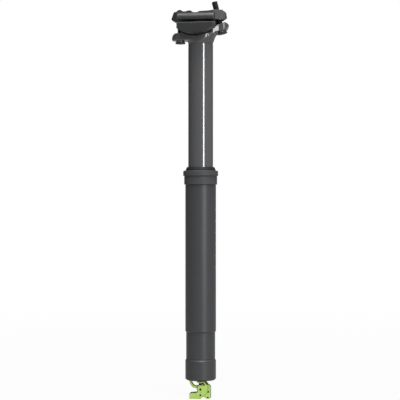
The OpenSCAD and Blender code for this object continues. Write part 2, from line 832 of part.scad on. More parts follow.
// Side view of the central spine
module spine_side() {
    base_z = rail_z + 3.8;
    polygon([
        [-27.9, rail_z + 1.8],
        [-24.5, rail_z + 0.6],
        [-13.2, rail_z + 0.6],
        [-13.2, base_z],
        [11.4, base_z],
        [13.6, rail_z + 3],
        [21.6, rail_z + 1.6],
        [24.2, rail_z + 2.8],
        [spine_rear_x, rail_z + 4.6],
        [spine_rear_x - 1.1, rail_z + 10.2],
        [22.6, rail_z + 12.1],
        [14.3, rail_z + 12],
        [10.2, rail_z + 11.3],
        [-0.3, rail_z + 10.9],
        [-1.8, rail_z + 9.8],
        [-7.5, rail_z + 9.8],
        [-8.6, rail_z + 11.7],
        [-11.6, rail_z + 11.7],
        [-13.4, rail_z + 10.9],
        [-25.4, rail_z + 10.6],
        [-26.4, rail_z + 10],
        [spine_front_x, rail_z + 3.4]
    ]);
}

// Plan view of the central spine, which tapers at both ends
module spine_plan() {
    edge = [
        [spine_front_x - 1, spine_half_w - 2.5],
        [-19.5, spine_half_w],
        [13.8, spine_half_w],
        [spine_rear_x + 0.1, spine_half_w - 4.6]
    ];
    polygon(concat(edge, [for (i = [3:-1:0]) [edge[i][0], -edge[i][1]]]));
}

spine_front_x = -28.9;
spine_rear_x = 26.4;

// A pocket for a barrel nut, open at the top, drawn on the nut's centre
module nut_pocket() {
    half_w = nut_half_w + 0.25;
    cross_rod(0, 0, nut_r + run_gap, 2 * half_w);
    translate([-nut_r - run_gap, -half_w, 0]) cube([nut_d + 2 * run_gap, 2 * half_w, nut_d]);
}

module upper_clamp() {
    bridge_half = rail_spacing / 2 - rail_seat_r - 1;
    bridge_x = -17;
    bridge_len = 31;
    bridge_z = rail_z + 4;
    window_w = 4.4;
    window_y = (spine_half_w + bridge_half) / 2;
    slot_r = bolt_r + 0.35;
    color(GREY) difference() {
        union() {
            wing();
            mirror([0, 1, 0]) wing();
            intersection() {
                slab(2 * spine_half_w) spine_side();
                translate([0, 0, rail_z - 1]) linear_extrude(through) spine_plan();
            }
            difference() {
                translate([bridge_x, -bridge_half, bridge_z]) cube([bridge_len, 2 * bridge_half, 4.2]);
                for (side = [-1, 1]) translate([bridge_x + 9, side * window_y - window_w / 2, bridge_z - 1])
                    cube([bridge_len - 18, window_w, through]);
            }
        }
        rails();
        translate([-front_bolt_x, 0, nut_z]) nut_pocket();
        slot(-front_bolt_x - 2.2, -front_bolt_x + 1.4, slot_r, rail_z - 1, nut_z);
        translate([rear_nut_x, 0, nut_z]) rotate([0, -rear_bolt_tilt, 0]) {
            nut_pocket();
            slot(-2.2, 1.2, slot_r, -12, 0);
            slot(-1.4, 1.8, slot_r, 0, 12);
        }
    }
}

/* Actuator */

// Outline of one plate of the fork
module fork_side() {
    gap_top_z = pivot_z + 0.9;
    gap_low_z = pivot_z - 3.3;
    gap_mid_z = (gap_top_z + gap_low_z) / 2;
    gap_r = (gap_top_z - gap_low_z) / 2;
    polygon(concat(
        [[-1.2, fork_top_z], [5.2, fork_top_z], [3.2, foot_z + 0.9], [neck_r - 0.3, foot_z + 1.2]],
        [[4.9, foot_z + 1.2], [7.7, fork_top_z - 0.1], [8.1, fork_top_z - 1.9], [7.9, pivot_z - 1]],
        [[6.6, pivot_z - 3.4], [1.6, fork_foot_z + 0.9], [0.6, fork_foot_z]],
        [[block_x, fork_foot_z], [block_x, block_top_z], [-5.4, gap_low_z - 0.1]],
        arc(-1.9 - gap_r, gap_mid_z, gap_r, -80, 42, 8),
        [[-2.6, gap_top_z + 0.7]]
    ));
}

module actuator_base() {
    web_x = -2.6;
    web_len = 7.2;
    web_z = foot_z + 0.2;
    color(GREEN) difference() {
        union() {
            for (side = [-1, 1])
                translate([0, side * (fork_gap + fork_t / 2), 0]) slab(fork_t) fork_side();
            translate([block_x, -fork_out, fork_foot_z])
                cube([block_w, 2 * fork_out, block_top_z - fork_foot_z]);
            translate([web_x, -fork_out, web_z]) cube([web_len, 2 * fork_out, 1.2]);
            translate([web_x, fork_gap, fork_top_z - 1]) cube([web_len, fork_t, web_z - fork_top_z + 1.1]);
            translate([0, 0, web_z]) cylinder(r = neck_r, h = floor_under_z - rod_nut_h - 0.6 - web_z);
        }
        translate([0, 0, foot_z - 1]) cylinder(r = foot_r + fit_gap, h = through);
        cross_rod(pivot_x, pivot_z, pivot_d / 2 + 0.02, through);
        cross_rod(pivot_x, stop_pin_z, small_hole_r + 0.02, through);
        translate([housing_x, 0, fork_foot_z - 1]) cylinder(d = housing_d, h = 5.5);
        translate([housing_x, 0, fork_foot_z]) cylinder(r = 1.1, h = 10);
        translate([housing_x - through, -0.8, fork_foot_z - 1]) cube([through, 1.6, 10]);
        translate([0, 0, foot_z + 2.2]) rotate([0, 90, 0]) cylinder(r = 1.25, h = 10);
    }
}

// The cam's radius grows with the angle, so the pin's lift is in step with the rocker's turn.
function cam(steps) =
    [for (i = [0:steps]) let (turn = rocker_turn * i / steps, r = cam_r + cam_rise * turn)
        [pivot_x + r * sin(turn), pivot_z + r * cos(turn)]];

// A point of the rocker that comes to x and z from the pivot once the rocker has turned all the way
function before_turn(x, z) =
    [pivot_x + x * cos(rocker_turn) + z * sin(rocker_turn),
     pivot_z - x * sin(rocker_turn) + z * cos(rocker_turn)];

module rocker_side() {
    hook_z = pivot_z + 0.9;
    tail_foot_z = fork_foot_z + 0.2;
    polygon(concat(
        cam(8),
        [before_turn(neck_r + 0.5, cam_r + pin_lift)],
        [[7.2, cap_end_z - 4.4], [8.3, cap_end_z - 4.4], [10.3, cap_end_z - 6.6]],
        [[10.3, tail_foot_z + 0.8], [9.5, tail_foot_z], [5.6, tail_foot_z], [4.3, tail_foot_z + 1.4]],
        [[pivot_x + small_hole_r + stop_gap, stop_pin_z - 1.2]],
        [[pivot_x + small_hole_r + stop_gap, stop_pin_z + 1]],
        arc(pivot_x, pivot_z, cam_r, -70, -150, 6),
        [[-4, hook_z + 0.1], [-6.2, hook_z + 0.2], [-8.1, hook_z + 1]],
        [[-10.1, hook_z + 3.6], [-11.2, hook_z + 6.8], [-11.5, hook_z + 10.5], [-9.6, hook_z + 10.5]],
        [[-9.2, hook_z + 7.2], [-8.2, hook_z + 4.6], [-6.8, hook_z + 3], [-5.2, hook_z + 2.4]],
        [[-3.2, hook_z + 2.8]]
    ));
}

module actuator_rocker() {
    cable_slot_w = 1.8;
    blind_depth = 1.6;
    color(GREEN) difference() {
        slab(rocker_t) rocker_side();
        cross_rod(pivot_x, pivot_z, pivot_d / 2 + run_gap, through);
        for (side = [-1, 1], hole = [[8.1, pivot_z - 2.6], [7.7, pivot_z - 8.4]])
            translate([0, side * rocker_t / 2, 0])
                cross_rod(hole[0], hole[1], small_hole_r, 2 * blind_depth);
        translate([-6 - through, -cable_slot_w / 2, fork_foot_z]) cube([through, cable_slot_w, through]);
    }
}

module rocker_pivot_pin() {
    color(STEEL) cross_rod(pivot_x, pivot_z, pivot_d / 2, 2 * fork_out + 0.2);
}

module rocker_stop_pin() {
    color(STEEL) cross_rod(pivot_x, stop_pin_z, small_hole_r, 2 * fork_out + 0.2);
}

module actuator_grub_screw() {
    color(STEEL) difference() {
        translate([foot_r + 0.1, 0, foot_z + 2.2]) rotate([0, 90, 0])
            cylinder(r = 1.2, h = neck_r - foot_r + 0.6);
        translate([neck_r, 0, foot_z + 2.2]) rotate([0, 90, 0]) cylinder(r = 0.6, h = 2, $fn = 6);
    }
}

lower_tube();
collar();
wiper_seal();
foam_ring();
upper_bushing();
collar_o_ring();
end_cap();
end_cap_o_ring();
rod_nut();
bottom_out_bumper();
cartridge_rod();
piston();
piston_seal();
valve_cap();
return_spring();
top_out_bumper();
release_pin();
stanchion();
lower_bushing();
guide_keys();
seat_head();
cartridge_body();
rod_guide();
rod_seal();
cartridge_circlip();
cartridge_top_plug();
fill_screw();
floating_piston();
floating_piston_seal();
lower_cradle();
upper_clamp();
front_bolt();
front_washer();
front_barrel_nut();
rear_bolt();
rear_washer();
rear_barrel_nut();
actuator_base();
actuator_rocker();
rocker_pivot_pin();
rocker_stop_pin();
actuator_grub_screw();
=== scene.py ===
"""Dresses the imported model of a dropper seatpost: turned, forged and machined surfaces with their finishes,
a pale studio floor, soft lamps and a camera. All lengths in the mesh code are millimetres until a piece is made."""

import json
import math

import bmesh
import bpy
import numpy as np
from bpy.props import FloatProperty, FloatVectorProperty, IntProperty, PointerProperty
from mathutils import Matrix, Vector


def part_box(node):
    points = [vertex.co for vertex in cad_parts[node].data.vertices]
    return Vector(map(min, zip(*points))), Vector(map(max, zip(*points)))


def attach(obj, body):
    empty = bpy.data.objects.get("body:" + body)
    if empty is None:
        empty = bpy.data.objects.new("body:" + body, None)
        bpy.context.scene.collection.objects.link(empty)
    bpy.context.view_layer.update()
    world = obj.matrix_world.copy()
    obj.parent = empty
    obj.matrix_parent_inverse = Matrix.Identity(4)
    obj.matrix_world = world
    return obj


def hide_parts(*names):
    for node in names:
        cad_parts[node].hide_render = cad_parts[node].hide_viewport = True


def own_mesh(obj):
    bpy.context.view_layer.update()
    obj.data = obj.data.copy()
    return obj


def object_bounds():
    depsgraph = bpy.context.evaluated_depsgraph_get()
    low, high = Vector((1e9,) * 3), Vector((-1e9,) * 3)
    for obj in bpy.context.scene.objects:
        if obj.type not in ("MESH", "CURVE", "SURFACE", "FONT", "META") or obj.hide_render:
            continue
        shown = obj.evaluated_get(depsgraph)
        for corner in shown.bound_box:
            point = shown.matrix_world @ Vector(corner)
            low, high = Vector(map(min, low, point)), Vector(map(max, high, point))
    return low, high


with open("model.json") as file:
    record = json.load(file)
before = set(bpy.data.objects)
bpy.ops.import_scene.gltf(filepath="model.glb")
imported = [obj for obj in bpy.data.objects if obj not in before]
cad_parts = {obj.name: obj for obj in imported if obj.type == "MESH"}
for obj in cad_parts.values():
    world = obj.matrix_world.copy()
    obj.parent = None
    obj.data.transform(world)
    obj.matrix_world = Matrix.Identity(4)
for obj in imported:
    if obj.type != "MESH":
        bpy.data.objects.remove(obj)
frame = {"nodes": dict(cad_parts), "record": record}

bl_info = {
    "name": "Dropper seatpost dressing",
    "version": (1, 0, 0),
    "blender": (4, 5, 0),
    "location": "3D View > Sidebar > Seatpost",
    "description": "Detailed surfaces, finishes and studio for a packed dropper seatpost",
    "category": "Object",
}

CAD_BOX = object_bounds()
MM = 0.001
TAU = 2 * math.pi

CAMERA = {"azimuth": 10.0, "distance": 1.35, "height": -0.0155, "view_width": 0.40352, "axis_shift": 0.00165}
# Diffuse light is fill + key * the share towards key_azimuth. Glossy rays meet room, changed by the shares along
# the camera's right, up and back. The backdrop fills directions whose share backward is above backdrop_from.
LIGHT = {"key_azimuth": 24.0, "key": 0.82, "fill": 0.08, "room": 0.23, "right": 0.08, "up": 0.12, "back": 0.15,
         "backdrop_from": 0.985}
# Each lamp: name, azimuth, elevation, distance in metres, size in metres, watts
LAMPS = (("strip", 38.5, 0, 1.5, (0.3, 1.5), 15.0), ("top", 24, 74, 1.5, (0.9, 0.9), 26.0))


def span(node):
    """Lowest and highest corners of a CAD node, in millimetres."""
    low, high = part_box(node)
    return np.array(low) / MM, np.array(high) / MM


TUBE = span("lower_tube")
COLLAR = span("collar")
WIPER = span("wiper_seal")
RING = span("end_cap")
POST = span("stanchion")
FRONT_BOLT = span("front_bolt")
FRONT_NUT = span("front_barrel_nut")
REAR_NUT = span("rear_barrel_nut")
PIVOT = span("rocker_pivot_pin")
STOP = span("rocker_stop_pin")
SPRING = span("return_spring")


def length(name, description, default, **limits):
    """A length property in millimetres."""
    return FloatProperty(name=name, description=description, default=float(default), **limits)


def tint(name, description, default):
    """A colour property, linear."""
    return FloatVectorProperty(name=name, description=description, default=default, subtype="COLOR", size=3,
                               min=0, max=1)


class SeatpostSizes(bpy.types.PropertyGroup):
    """Sizes of the dressed pieces, in millimetres and degrees"""

    tube_d: length("Outer tube", "Outside diameter of the outer tube, in mm", 2 * TUBE[1][0])
    relief_d: length("Relief", "Diameter of the turned relief at the tube's foot, in mm", 29.25)
    relief_len: length("Relief length", "Length of the turned relief, in mm", 27.4)
    tube_bore_d: length("Tube bore", "Bore of the outer tube, in mm", 27.05)
    thread_d: length("Collar thread", "Diameter of the tube inside the collar, in mm", 29.9)
    band_d: length("Collar band", "Diameter of the collar's band, in mm", 33.2)
    band_h: length("Collar band height", "Height of the collar's band, in mm", 8.7)
    flange_d: length("Collar flange", "Diameter of the collar's flange, in mm", 2 * COLLAR[1][0])
    stanchion_d: length("Inner tube", "Outside diameter of the inner tube, in mm", 2 * POST[1][0])
    stanchion_bore_d: length("Inner tube bore", "Bore of the inner tube, in mm", 20.2)
    bolt_d: length("Saddle bolt", "Thread diameter of the saddle bolts, in mm", 6)
    bolt_pitch: length("Thread pitch", "Pitch of the saddle bolts' thread, in mm", 1)
    bolt_head_d: length("Bolt head", "Diameter of the bolt heads, in mm", 10)
    bolt_head_h: length("Bolt head height", "Height of the bolt heads, in mm", 1.6)
    washer_h: length("Washer height", "Height of the half-round washers, in mm", 2.2)
    washer_seat_r: length("Washer seat", "Radius of the washers' round side, in mm", 10)
    rear_lean: FloatProperty(name="Rear bolt lean", description="Lean of the rear bolt to the front",
                             default=math.radians(14.3), subtype="ANGLE")
    rear_grip: length("Rear grip", "Length from the rear washer's crown to the rear nut, in mm", 17.7)
    rear_proud: length("Rear bolt end", "Length of the rear bolt above its nut, in mm", 12.7)
    spring_wire_d: length("Spring wire", "Wire diameter of the valve's return spring, in mm", 0.6)
    spring_turns: IntProperty(name="Spring turns", description="Turns of the return spring", default=3, min=1)
    pin_travel: length("Pin travel", "Way that the release pin is pushed, in mm", 1.75)
    # Faces between the fork's plates within this distance of the middle take full painted shade.
    fork_gap: length("Fork gap", "Distance from the middle to where the fork's inner faces end, in mm", 3.2)
    forging_voxel: length("Forging voxel", "Grid size of the forged surfaces, in mm", 0.36, min=0.25)
    machined_voxel: length("Machined voxel", "Grid size of the small machined parts, in mm", 0.18, min=0.12)
    around: IntProperty(name="Columns", description="Columns around a turned surface", default=192, min=48)


class SeatpostFinish(bpy.types.PropertyGroup):
    """Colours of the finishes"""

    outer_grey: tint("Outer tube grey", "Matte anodised grey of the outer tube", (0.047, 0.048, 0.050))
    collar_grey: tint("Collar grey", "Matte anodised grey of the collar", (0.062, 0.063, 0.065))
    inner_grey: tint("Inner tube grey", "Satin anodised grey of the inner tube", (0.074, 0.075, 0.077))
    head_grey: tint("Head grey", "Satin anodised grey of the forged head", (0.064, 0.065, 0.067))
    clamp_grey: tint("Clamp grey", "Blasted grey of the rail clamp", (0.022, 0.0225, 0.023))
    green: tint("Actuator green", "Anodised green of the actuator", (0.60, 0.86, 0.205))
    bolt_black: tint("Bolt black", "Black oxide of the bolts and nuts", (0.016, 0.016, 0.017))
    steel: tint("Steel", "Bare steel of washers, pins and rod", (0.46, 0.46, 0.47))
    alloy: tint("Bare alloy", "Bare aluminium of the inner parts and of worn edges", (0.60, 0.60, 0.61))
    brass: tint("Brass", "Brass of the guide keys", (0.60, 0.42, 0.17))
    rubber: tint("Rubber", "Rubber of the wiper, seals and bumpers", (0.014, 0.014, 0.015))
    foam: tint("Foam", "Open foam of the oil ring", (0.075, 0.075, 0.075))
    bearing: tint("Bearing", "Filled plastic of the bushings", (0.10, 0.10, 0.10))
    tick: tint("Tick marks", "Pale print of the height marks", (0.31, 0.32, 0.33))


# Meshes


def grid_mesh(name, points, closed_rows):
    """A mesh of quads over a grid of points whose columns always close. Corner (i, j) is joined to its neighbours
    (i + 1, j), (i + 1, j + 1) and (i, j + 1). Where the rows don't close, the first and last row are single points
    drawn together, and merging makes them a pole. Faces are turned to enclose a positive volume."""
    rows, columns = points.shape[:2]
    i, j = np.meshgrid(np.arange(rows if closed_rows else rows - 1), np.arange(columns), indexing="ij")
    below, beside = (i + 1) % rows, (j + 1) % columns
    quads = np.stack([i * columns + j, below * columns + j, below * columns + beside, i * columns + beside], -1)
    quads = quads.reshape(-1, 4)
    flat = points.reshape(-1, 3) * MM
    a, b, c, d = (flat[quads[:, k]] for k in range(4))
    if np.einsum("ij,ij->i", a + c, np.cross(c - a, d - b)).sum() < 0:
        quads = quads[:, ::-1]
    mesh = bpy.data.meshes.new(name)
    mesh.from_pydata(flat, [], quads)
    if not closed_rows:
        shell = bmesh.new()
        shell.from_mesh(mesh)
        bmesh.ops.remove_doubles(shell, verts=shell.verts, dist=1e-7)
        shell.to_mesh(mesh)
        shell.free()
    mesh.validate()
    return mesh


def rounded(corners, radii, steps=5):
    """A closed profile with every corner rounded: the corner's two tangent points lie radius / tan(half angle) along
    its sides, and the points between them follow the quadratic curve through the corner, close to an arc."""
    corners = np.asarray(corners, float)
    before, after = np.roll(corners, 1, 0) - corners, np.roll(corners, -1, 0) - corners
    to_before, to_after = np.linalg.norm(before, axis=1), np.linalg.norm(after, axis=1)
    before, after = before / to_before[:, None], after / to_after[:, None]
    angle = np.arccos(np.clip((before * after).sum(1), -1, 1))
    reach = np.minimum(np.asarray(radii) / np.tan(np.maximum(angle, 0.1) / 2), 0.45 * np.minimum(to_before, to_after))
    t = np.linspace(0, 1, steps + 1)[None, :, None]
    first, last = corners + before * reach[:, None], corners + after * reach[:, None]
    points = ((1 - t) ** 2 * first[:, None] + 2 * t * (1 - t) * corners[:, None] + t**2 * last[:, None]).reshape(-1, 2)
    return points[np.linalg.norm(points - np.roll(points, 1, 0), axis=1) > 1e-4]


def supported(profile, margin=0.12, longest=6.0):
    """A closed profile with extra points margin in from the ends of its long sides, and more where a side is longer
    than longest, so that smooth shading stays flat on flats."""
    pieces = []
    for here, there in zip(profile, np.roll(profile, -1, 0)):
        reach = np.linalg.norm(there - here)
        if reach > 3 * margin:
            inner = np.linspace(margin / reach, 1 - margin / reach, max(2, int(reach / longest) + 1))
            pieces.append(here + np.concatenate([[0.0], inner])[:, None] * (there - here))
        else:
            pieces.append(here[None])
    return np.concatenate(pieces)


def turned(profile, around):
    """A closed profile of (radius, height) turned about Z: x = radius cos angle, y = radius sin angle."""
    angle = np.arange(around) * TAU / around
    r, z = profile[:, 0, None], profile[:, 1, None]
    return np.stack([r * np.cos(angle), r * np.sin(angle), z + 0 * angle], -1)


def leaned(points, origin, lean):
    """Points turned about Y so that Z leans to the front, then moved to an origin."""
    x, y, z = points[..., 0], points[..., 1], points[..., 2]
    c, s = math.cos(lean), math.sin(lean)
    return np.stack([x * c - z * s, y, x * s + z * c], -1) + np.asarray(origin)


def convexity(mesh, scale=0.35):
    """Writes the point attribute edge: how far a vertex stands out of the mean of its neighbours along its normal,
    over scale millimetres, kept from 0 to 1 and spread once to the neighbours."""
    place, normal = vertex_rows(mesh)
    links = neighbours(mesh)
    lift = np.einsum("ij,ij->i", place - mean_of_neighbours(place, links), normal)
    near = mean_of_neighbours(lift[:, None], links)[:, 0]
    lift = np.clip(np.maximum(lift, near) / scale, 0, 1)
    layer = mesh.attributes.get("edge") or mesh.attributes.new("edge", "FLOAT", "POINT")
    layer.data.foreach_set("value", lift.astype(np.float32))


def vertex_rows(mesh):
    """The places of the vertices, in millimetres, and their normals, as rows of three."""
    place, normal = np.empty(len(mesh.vertices) * 3), np.empty(len(mesh.vertices) * 3)
    mesh.vertices.foreach_get("co", place)
    mesh.vertices.foreach_get("normal", normal)
    return place.reshape(-1, 3) / MM, normal.reshape(-1, 3)


def neighbours(mesh):
    """The two vertex numbers of every edge, as two arrays, and how many edges each vertex has, at least 1."""
    ends = np.empty(len(mesh.edges) * 2, np.int64)
    mesh.edges.foreach_get("vertices", ends)
    return ends[0::2], ends[1::2], np.maximum(np.bincount(ends, minlength=len(mesh.vertices)), 1)


def mean_of_neighbours(values, links):
    """For each vertex, the mean of values over the vertices that an edge joins it to."""
    a, b, degree = links
    total = np.stack([
        np.bincount(a, values[b, k], len(values)) + np.bincount(b, values[a, k], len(values))
        for k in range(values.shape[1])
    ], -1)
    return total / degree[:, None]


def piece(name, mesh, body, nodes, material, wear=0.35, sharp=None):
    """Makes the object at the origin, shades it smooth, and tells the frame what it rides on and stands for."""
    old = bpy.data.objects.get(name)
    if old is not None:
        raise RuntimeError(f"{name} is already there")
    made = bpy.data.objects.new(name, mesh)
    bpy.context.scene.collection.objects.link(made)
    mesh.shade_smooth()
    if sharp is not None:
        mesh.set_sharp_from_angle(angle=math.radians(sharp))
    convexity(mesh, wear)
    mesh.materials.clear()
    mesh.materials.append(material)
    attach(made, body)
    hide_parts(*nodes)
    return made


HOLLOW_REACH = 0.8  # how far the mean behind the sunk attribute spreads, in millimetres


def softened(node, voxel, passes):
    """A copy of a CAD node's mesh, merged, rebuilt on a voxel grid, and relaxed: at each pass every vertex goes half
    way to the mean of its neighbours, which leaves flats flat and rounds the edges as forging and tumbling do."""
    shell = bmesh.new()
    shell.from_mesh(frame["nodes"][node].data)
    bmesh.ops.remove_doubles(shell, verts=shell.verts, dist=1e-6)
    raw = bpy.data.meshes.new(node + "_raw")
    shell.to_mesh(raw)
    shell.free()
    worker = bpy.data.objects.new(node + "_worker", raw)
    bpy.context.scene.collection.objects.link(worker)
    remesh = worker.modifiers.new("grid", "REMESH")
    remesh.mode = "VOXEL"
    remesh.voxel_size = voxel * MM
    graph = bpy.context.evaluated_depsgraph_get()
    mesh = bpy.data.meshes.new_from_object(worker.evaluated_get(graph))
    bpy.data.objects.remove(worker)
    bpy.data.meshes.remove(raw)
    mesh.name = node + "_surface"
    place = np.empty(len(mesh.vertices) * 3)
    mesh.vertices.foreach_get("co", place)
    place = place.reshape(-1, 3)
    links = neighbours(mesh)
    for _ in range(passes):
        place = 0.5 * (place + mean_of_neighbours(place, links))
    low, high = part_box(node)
    place = np.clip(place, low, high)
    mesh.vertices.foreach_set("co", place.ravel())
    mesh.update()
    # The sunk attribute is the mask of the painted shade in holes, slots and inner corners.
    hollows(mesh, links, int(2 * (HOLLOW_REACH / voxel) ** 2), 0.9 * voxel)
    return mesh


def hollows(mesh, links, passes, scale):
    """Writes the point attribute sunk: how far the mesh, averaged over passes of neighbours, lies outside a vertex
    along its normal, over scale millimetres, kept from 0 to 1. It is high in holes, slots and inner corners, and is
    the mask of the painted shade there."""
    place, normal = vertex_rows(mesh)
    wide = place
    for _ in range(passes):
        wide = 0.5 * (wide + mean_of_neighbours(wide, links))
    sunk = np.clip(np.einsum("ij,ij->i", wide - place, normal) / scale, 0, 1)
    mesh.attributes.new("sunk", "FLOAT", "POINT").data.foreach_set("value", sunk.astype(np.float32))


def painted_shade_on_cuts(mesh, gap, side_shade=0.78):
    """Raises the attribute sunk, the mask of painted shade, on a machined plate: it is spread twice to the neighbours,
    is the given side share on cut sides, whose normals lie across Y, as painted shade on the sides, and is 1, full
    painted shade, on faces along Y within gap millimetres of the middle, between two plates."""
    place, normal = vertex_rows(mesh)
    links = neighbours(mesh)
    sunk = np.empty(len(place), np.float32)
    layer = mesh.attributes["sunk"]
    layer.data.foreach_get("value", sunk)
    for _ in range(2):
        sunk = np.maximum(sunk, 1.5 * mean_of_neighbours(sunk[:, None], links)[:, 0])
    across = 1 - np.abs(normal[:, 1])
    between = (np.abs(place[:, 1]) < gap) & (across < 0.5)
    sunk = np.clip(np.maximum(sunk, side_shade * np.clip(across / 0.35, 0, 1)), 0, 1)
    layer.data.foreach_set("value", np.where(between, 1.0, sunk).astype(np.float32))


# Shader groups and materials


def node_group(name, inputs, outputs, build):
    """A shader group with named sockets, built once."""
    group = bpy.data.node_groups.get(name)
    if group is not None:
        return group
    group = bpy.data.node_groups.new(name, "ShaderNodeTree")
    for label, kind, default in inputs:
        socket = group.interface.new_socket(name=label, in_out="INPUT", socket_type=kind)
        socket.default_value = default
    for label, kind in outputs:
        group.interface.new_socket(name=label, in_out="OUTPUT", socket_type=kind)
    build(group, group.nodes.new("NodeGroupInput"), group.nodes.new("NodeGroupOutput"))
    return group


def maths(tree, operation, first, second, clamp=False):
    """A Math node on two sockets or numbers."""
    made = tree.nodes.new("ShaderNodeMath")
    made.operation = operation
    made.use_clamp = clamp
    for socket, value in zip(made.inputs, (first, second)):
        if isinstance(value, bpy.types.NodeSocket):
            tree.links.new(value, socket)
        else:
            socket.default_value = value
    return made.outputs[0]


def noise(tree, vector, scale, detail=3.0, roughness=0.5):
    """A Noise Texture's Factor, over a vector socket and a scale socket or number."""
    made = tree.nodes.new("ShaderNodeTexNoise")
    made.inputs["Detail"].default_value = detail
    made.inputs["Roughness"].default_value = roughness
    tree.links.new(vector, made.inputs["Vector"])
    if isinstance(scale, bpy.types.NodeSocket):
        tree.links.new(scale, made.inputs["Scale"])
    else:
        made.inputs["Scale"].default_value = scale
    return made.outputs["Fac"]


def object_place(tree):
    """The Object output of a Texture Coordinate node."""
    return tree.nodes.new("ShaderNodeTexCoord").outputs["Object"]


def build_grain(group, given, result):
    """Blasted grain: fine noise for the height, and a slow blotch for the tone."""
    place = object_place(group)
    fine = noise(group, place, given.outputs["Scale"], 4.0, 0.6)
    slow = noise(group, place, 90.0, 2.0)
    group.links.new(maths(group, "MULTIPLY", maths(group, "SUBTRACT", fine, 0.5), given.outputs["Depth"]),
                    result.inputs["Height"])
    group.links.new(maths(group, "ADD", maths(group, "MULTIPLY", slow, 0.7), maths(group, "MULTIPLY", fine, 0.3)),
                    result.inputs["Tone"])


def build_turning(group, given, result):
    """Turning lines: noise on coordinates squeezed to their height, so that it only changes along the axis."""
    squeeze = group.nodes.new("ShaderNodeMapping")
    squeeze.inputs["Scale"].default_value = (0.02, 0.02, 1.0)
    group.links.new(object_place(group), squeeze.inputs["Vector"])
    lines = noise(group, squeeze.outputs["Vector"], given.outputs["Scale"], 5.0, 0.7)
    group.links.new(maths(group, "MULTIPLY", maths(group, "SUBTRACT", lines, 0.5), given.outputs["Depth"]),
                    result.inputs["Height"])
    group.links.new(lines, result.inputs["Tone"])


def build_wear_and_highlight(group, given, result):
    """Wear on the edges, and on the green finish a painted highlight: the mesh's edge attribute, broken up by noise
    and sharpened to a mask.
    """
    edge = group.nodes.new("ShaderNodeAttribute")
    edge.attribute_name = "edge"
    broken = noise(group, object_place(group), 420.0, 4.0, 0.65)
    mask = maths(group, "MULTIPLY", edge.outputs["Fac"], maths(group, "ADD", broken, 0.35))
    mask = maths(group, "MULTIPLY", maths(group, "SUBTRACT", mask, given.outputs["Start"], True), 2.6, True)
    group.links.new(maths(group, "MULTIPLY", mask, given.outputs["Amount"]), result.inputs["Mask"])


def build_hollow(group, given, result):
    """Painted shade in hollows: the mesh's sunk attribute, times an amount. It is 0 on a mesh without the attribute.
    """
    sunk = group.nodes.new("ShaderNodeAttribute")
    sunk.attribute_name = "sunk"
    group.links.new(maths(group, "MULTIPLY", sunk.outputs["Fac"], given.outputs["Amount"]), result.inputs["Mask"])


def build_handling(group, given, result):
    """Handling: faint smears and dust that change the gloss over centimetres."""
    stretch = group.nodes.new("ShaderNodeMapping")
    stretch.inputs["Scale"].default_value = (1.0, 1.0, 0.35)
    group.links.new(object_place(group), stretch.inputs["Vector"])
    smear = noise(group, stretch.outputs["Vector"], 55.0, 5.0, 0.6)
    group.links.new(maths(group, "MULTIPLY", maths(group, "SUBTRACT", smear, 0.5), given.outputs["Amount"]),
                    result.inputs["Change"])


def build_ticks(group, given, result):
    """Height marks: a mask of thin bars at even heights on the rear of the tube. A height falls in a bar where its
    distance from the nearest multiple of the step is small, and a place is on the rear where |y| is small and x is
    above zero."""
    split = group.nodes.new("ShaderNodeSeparateXYZ")
    group.links.new(object_place(group), split.inputs[0])
    x, y, z = split.outputs
    steps = maths(group, "DIVIDE", maths(group, "SUBTRACT", z, given.outputs["First"]), given.outputs["Step"])
    near = maths(group, "ABSOLUTE", maths(group, "SUBTRACT", steps, maths(group, "ROUND", steps, 0)), 0)
    bar = maths(group, "LESS_THAN", near, given.outputs["Half thickness"])
    wide = maths(group, "LESS_THAN", maths(group, "ABSOLUTE", y, 0), given.outputs["Half width"])
    inside = maths(group, "MULTIPLY", maths(group, "GREATER_THAN", steps, -6.5), maths(group, "LESS_THAN", steps, 0.5))
    mask = maths(group, "MULTIPLY", maths(group, "MULTIPLY", bar, wide),
                 maths(group, "MULTIPLY", inside, maths(group, "GREATER_THAN", x, 0.0)))
    group.links.new(mask, result.inputs["Mask"])


NUMBER, COLOUR = "NodeSocketFloat", "NodeSocketColor"


def groups():
    """The shared effects, by name."""
    relief = [("Scale", NUMBER, 2000.0), ("Depth", NUMBER, 0.1)]
    return {
        "grain": node_group("Blasted grain", relief, [("Height", NUMBER), ("Tone", NUMBER)], build_grain),
        "turning": node_group("Turning lines", relief, [("Height", NUMBER), ("Tone", NUMBER)], build_turning),
        "wear": node_group("Edge wear and painted highlight", [("Start", NUMBER, 0.3), ("Amount", NUMBER, 1.0)],
                           [("Mask", NUMBER)], build_wear_and_highlight),
        # This group paints shade into hollows.
        "hollow": node_group("Dark hollows", [("Amount", NUMBER, 0.7)], [("Mask", NUMBER)], build_hollow),
        "handling": node_group("Handling", [("Amount", NUMBER, 0.1)], [("Change", NUMBER)], build_handling),
        "ticks": node_group("Height marks", [("First", NUMBER, 0.0), ("Step", NUMBER, 0.01),
                                             ("Half thickness", NUMBER, 0.03), ("Half width", NUMBER, 0.003)],
                            [("Mask", NUMBER)], build_ticks),
    }


def placed(tree, group, **values):
    """A group placed in a material, with its values."""
    made = tree.nodes.new("ShaderNodeGroup")
    made.node_tree = group
    for label, value in values.items():
        made.inputs[label.replace("_", " ")].default_value = value
    return made


def blended(tree, mask, first, second):
    """A colour that goes from first to second with the mask."""
    mix = tree.nodes.new("ShaderNodeMix")
    mix.data_type = "RGBA"
    tree.links.new(mask, mix.inputs["Factor"])
    for socket, value in ((mix.inputs[6], first), (mix.inputs[7], second)):
        if isinstance(value, bpy.types.NodeSocket):
            tree.links.new(value, socket)
        else:
            socket.default_value = (*value, 1)
    return mix.outputs[2]


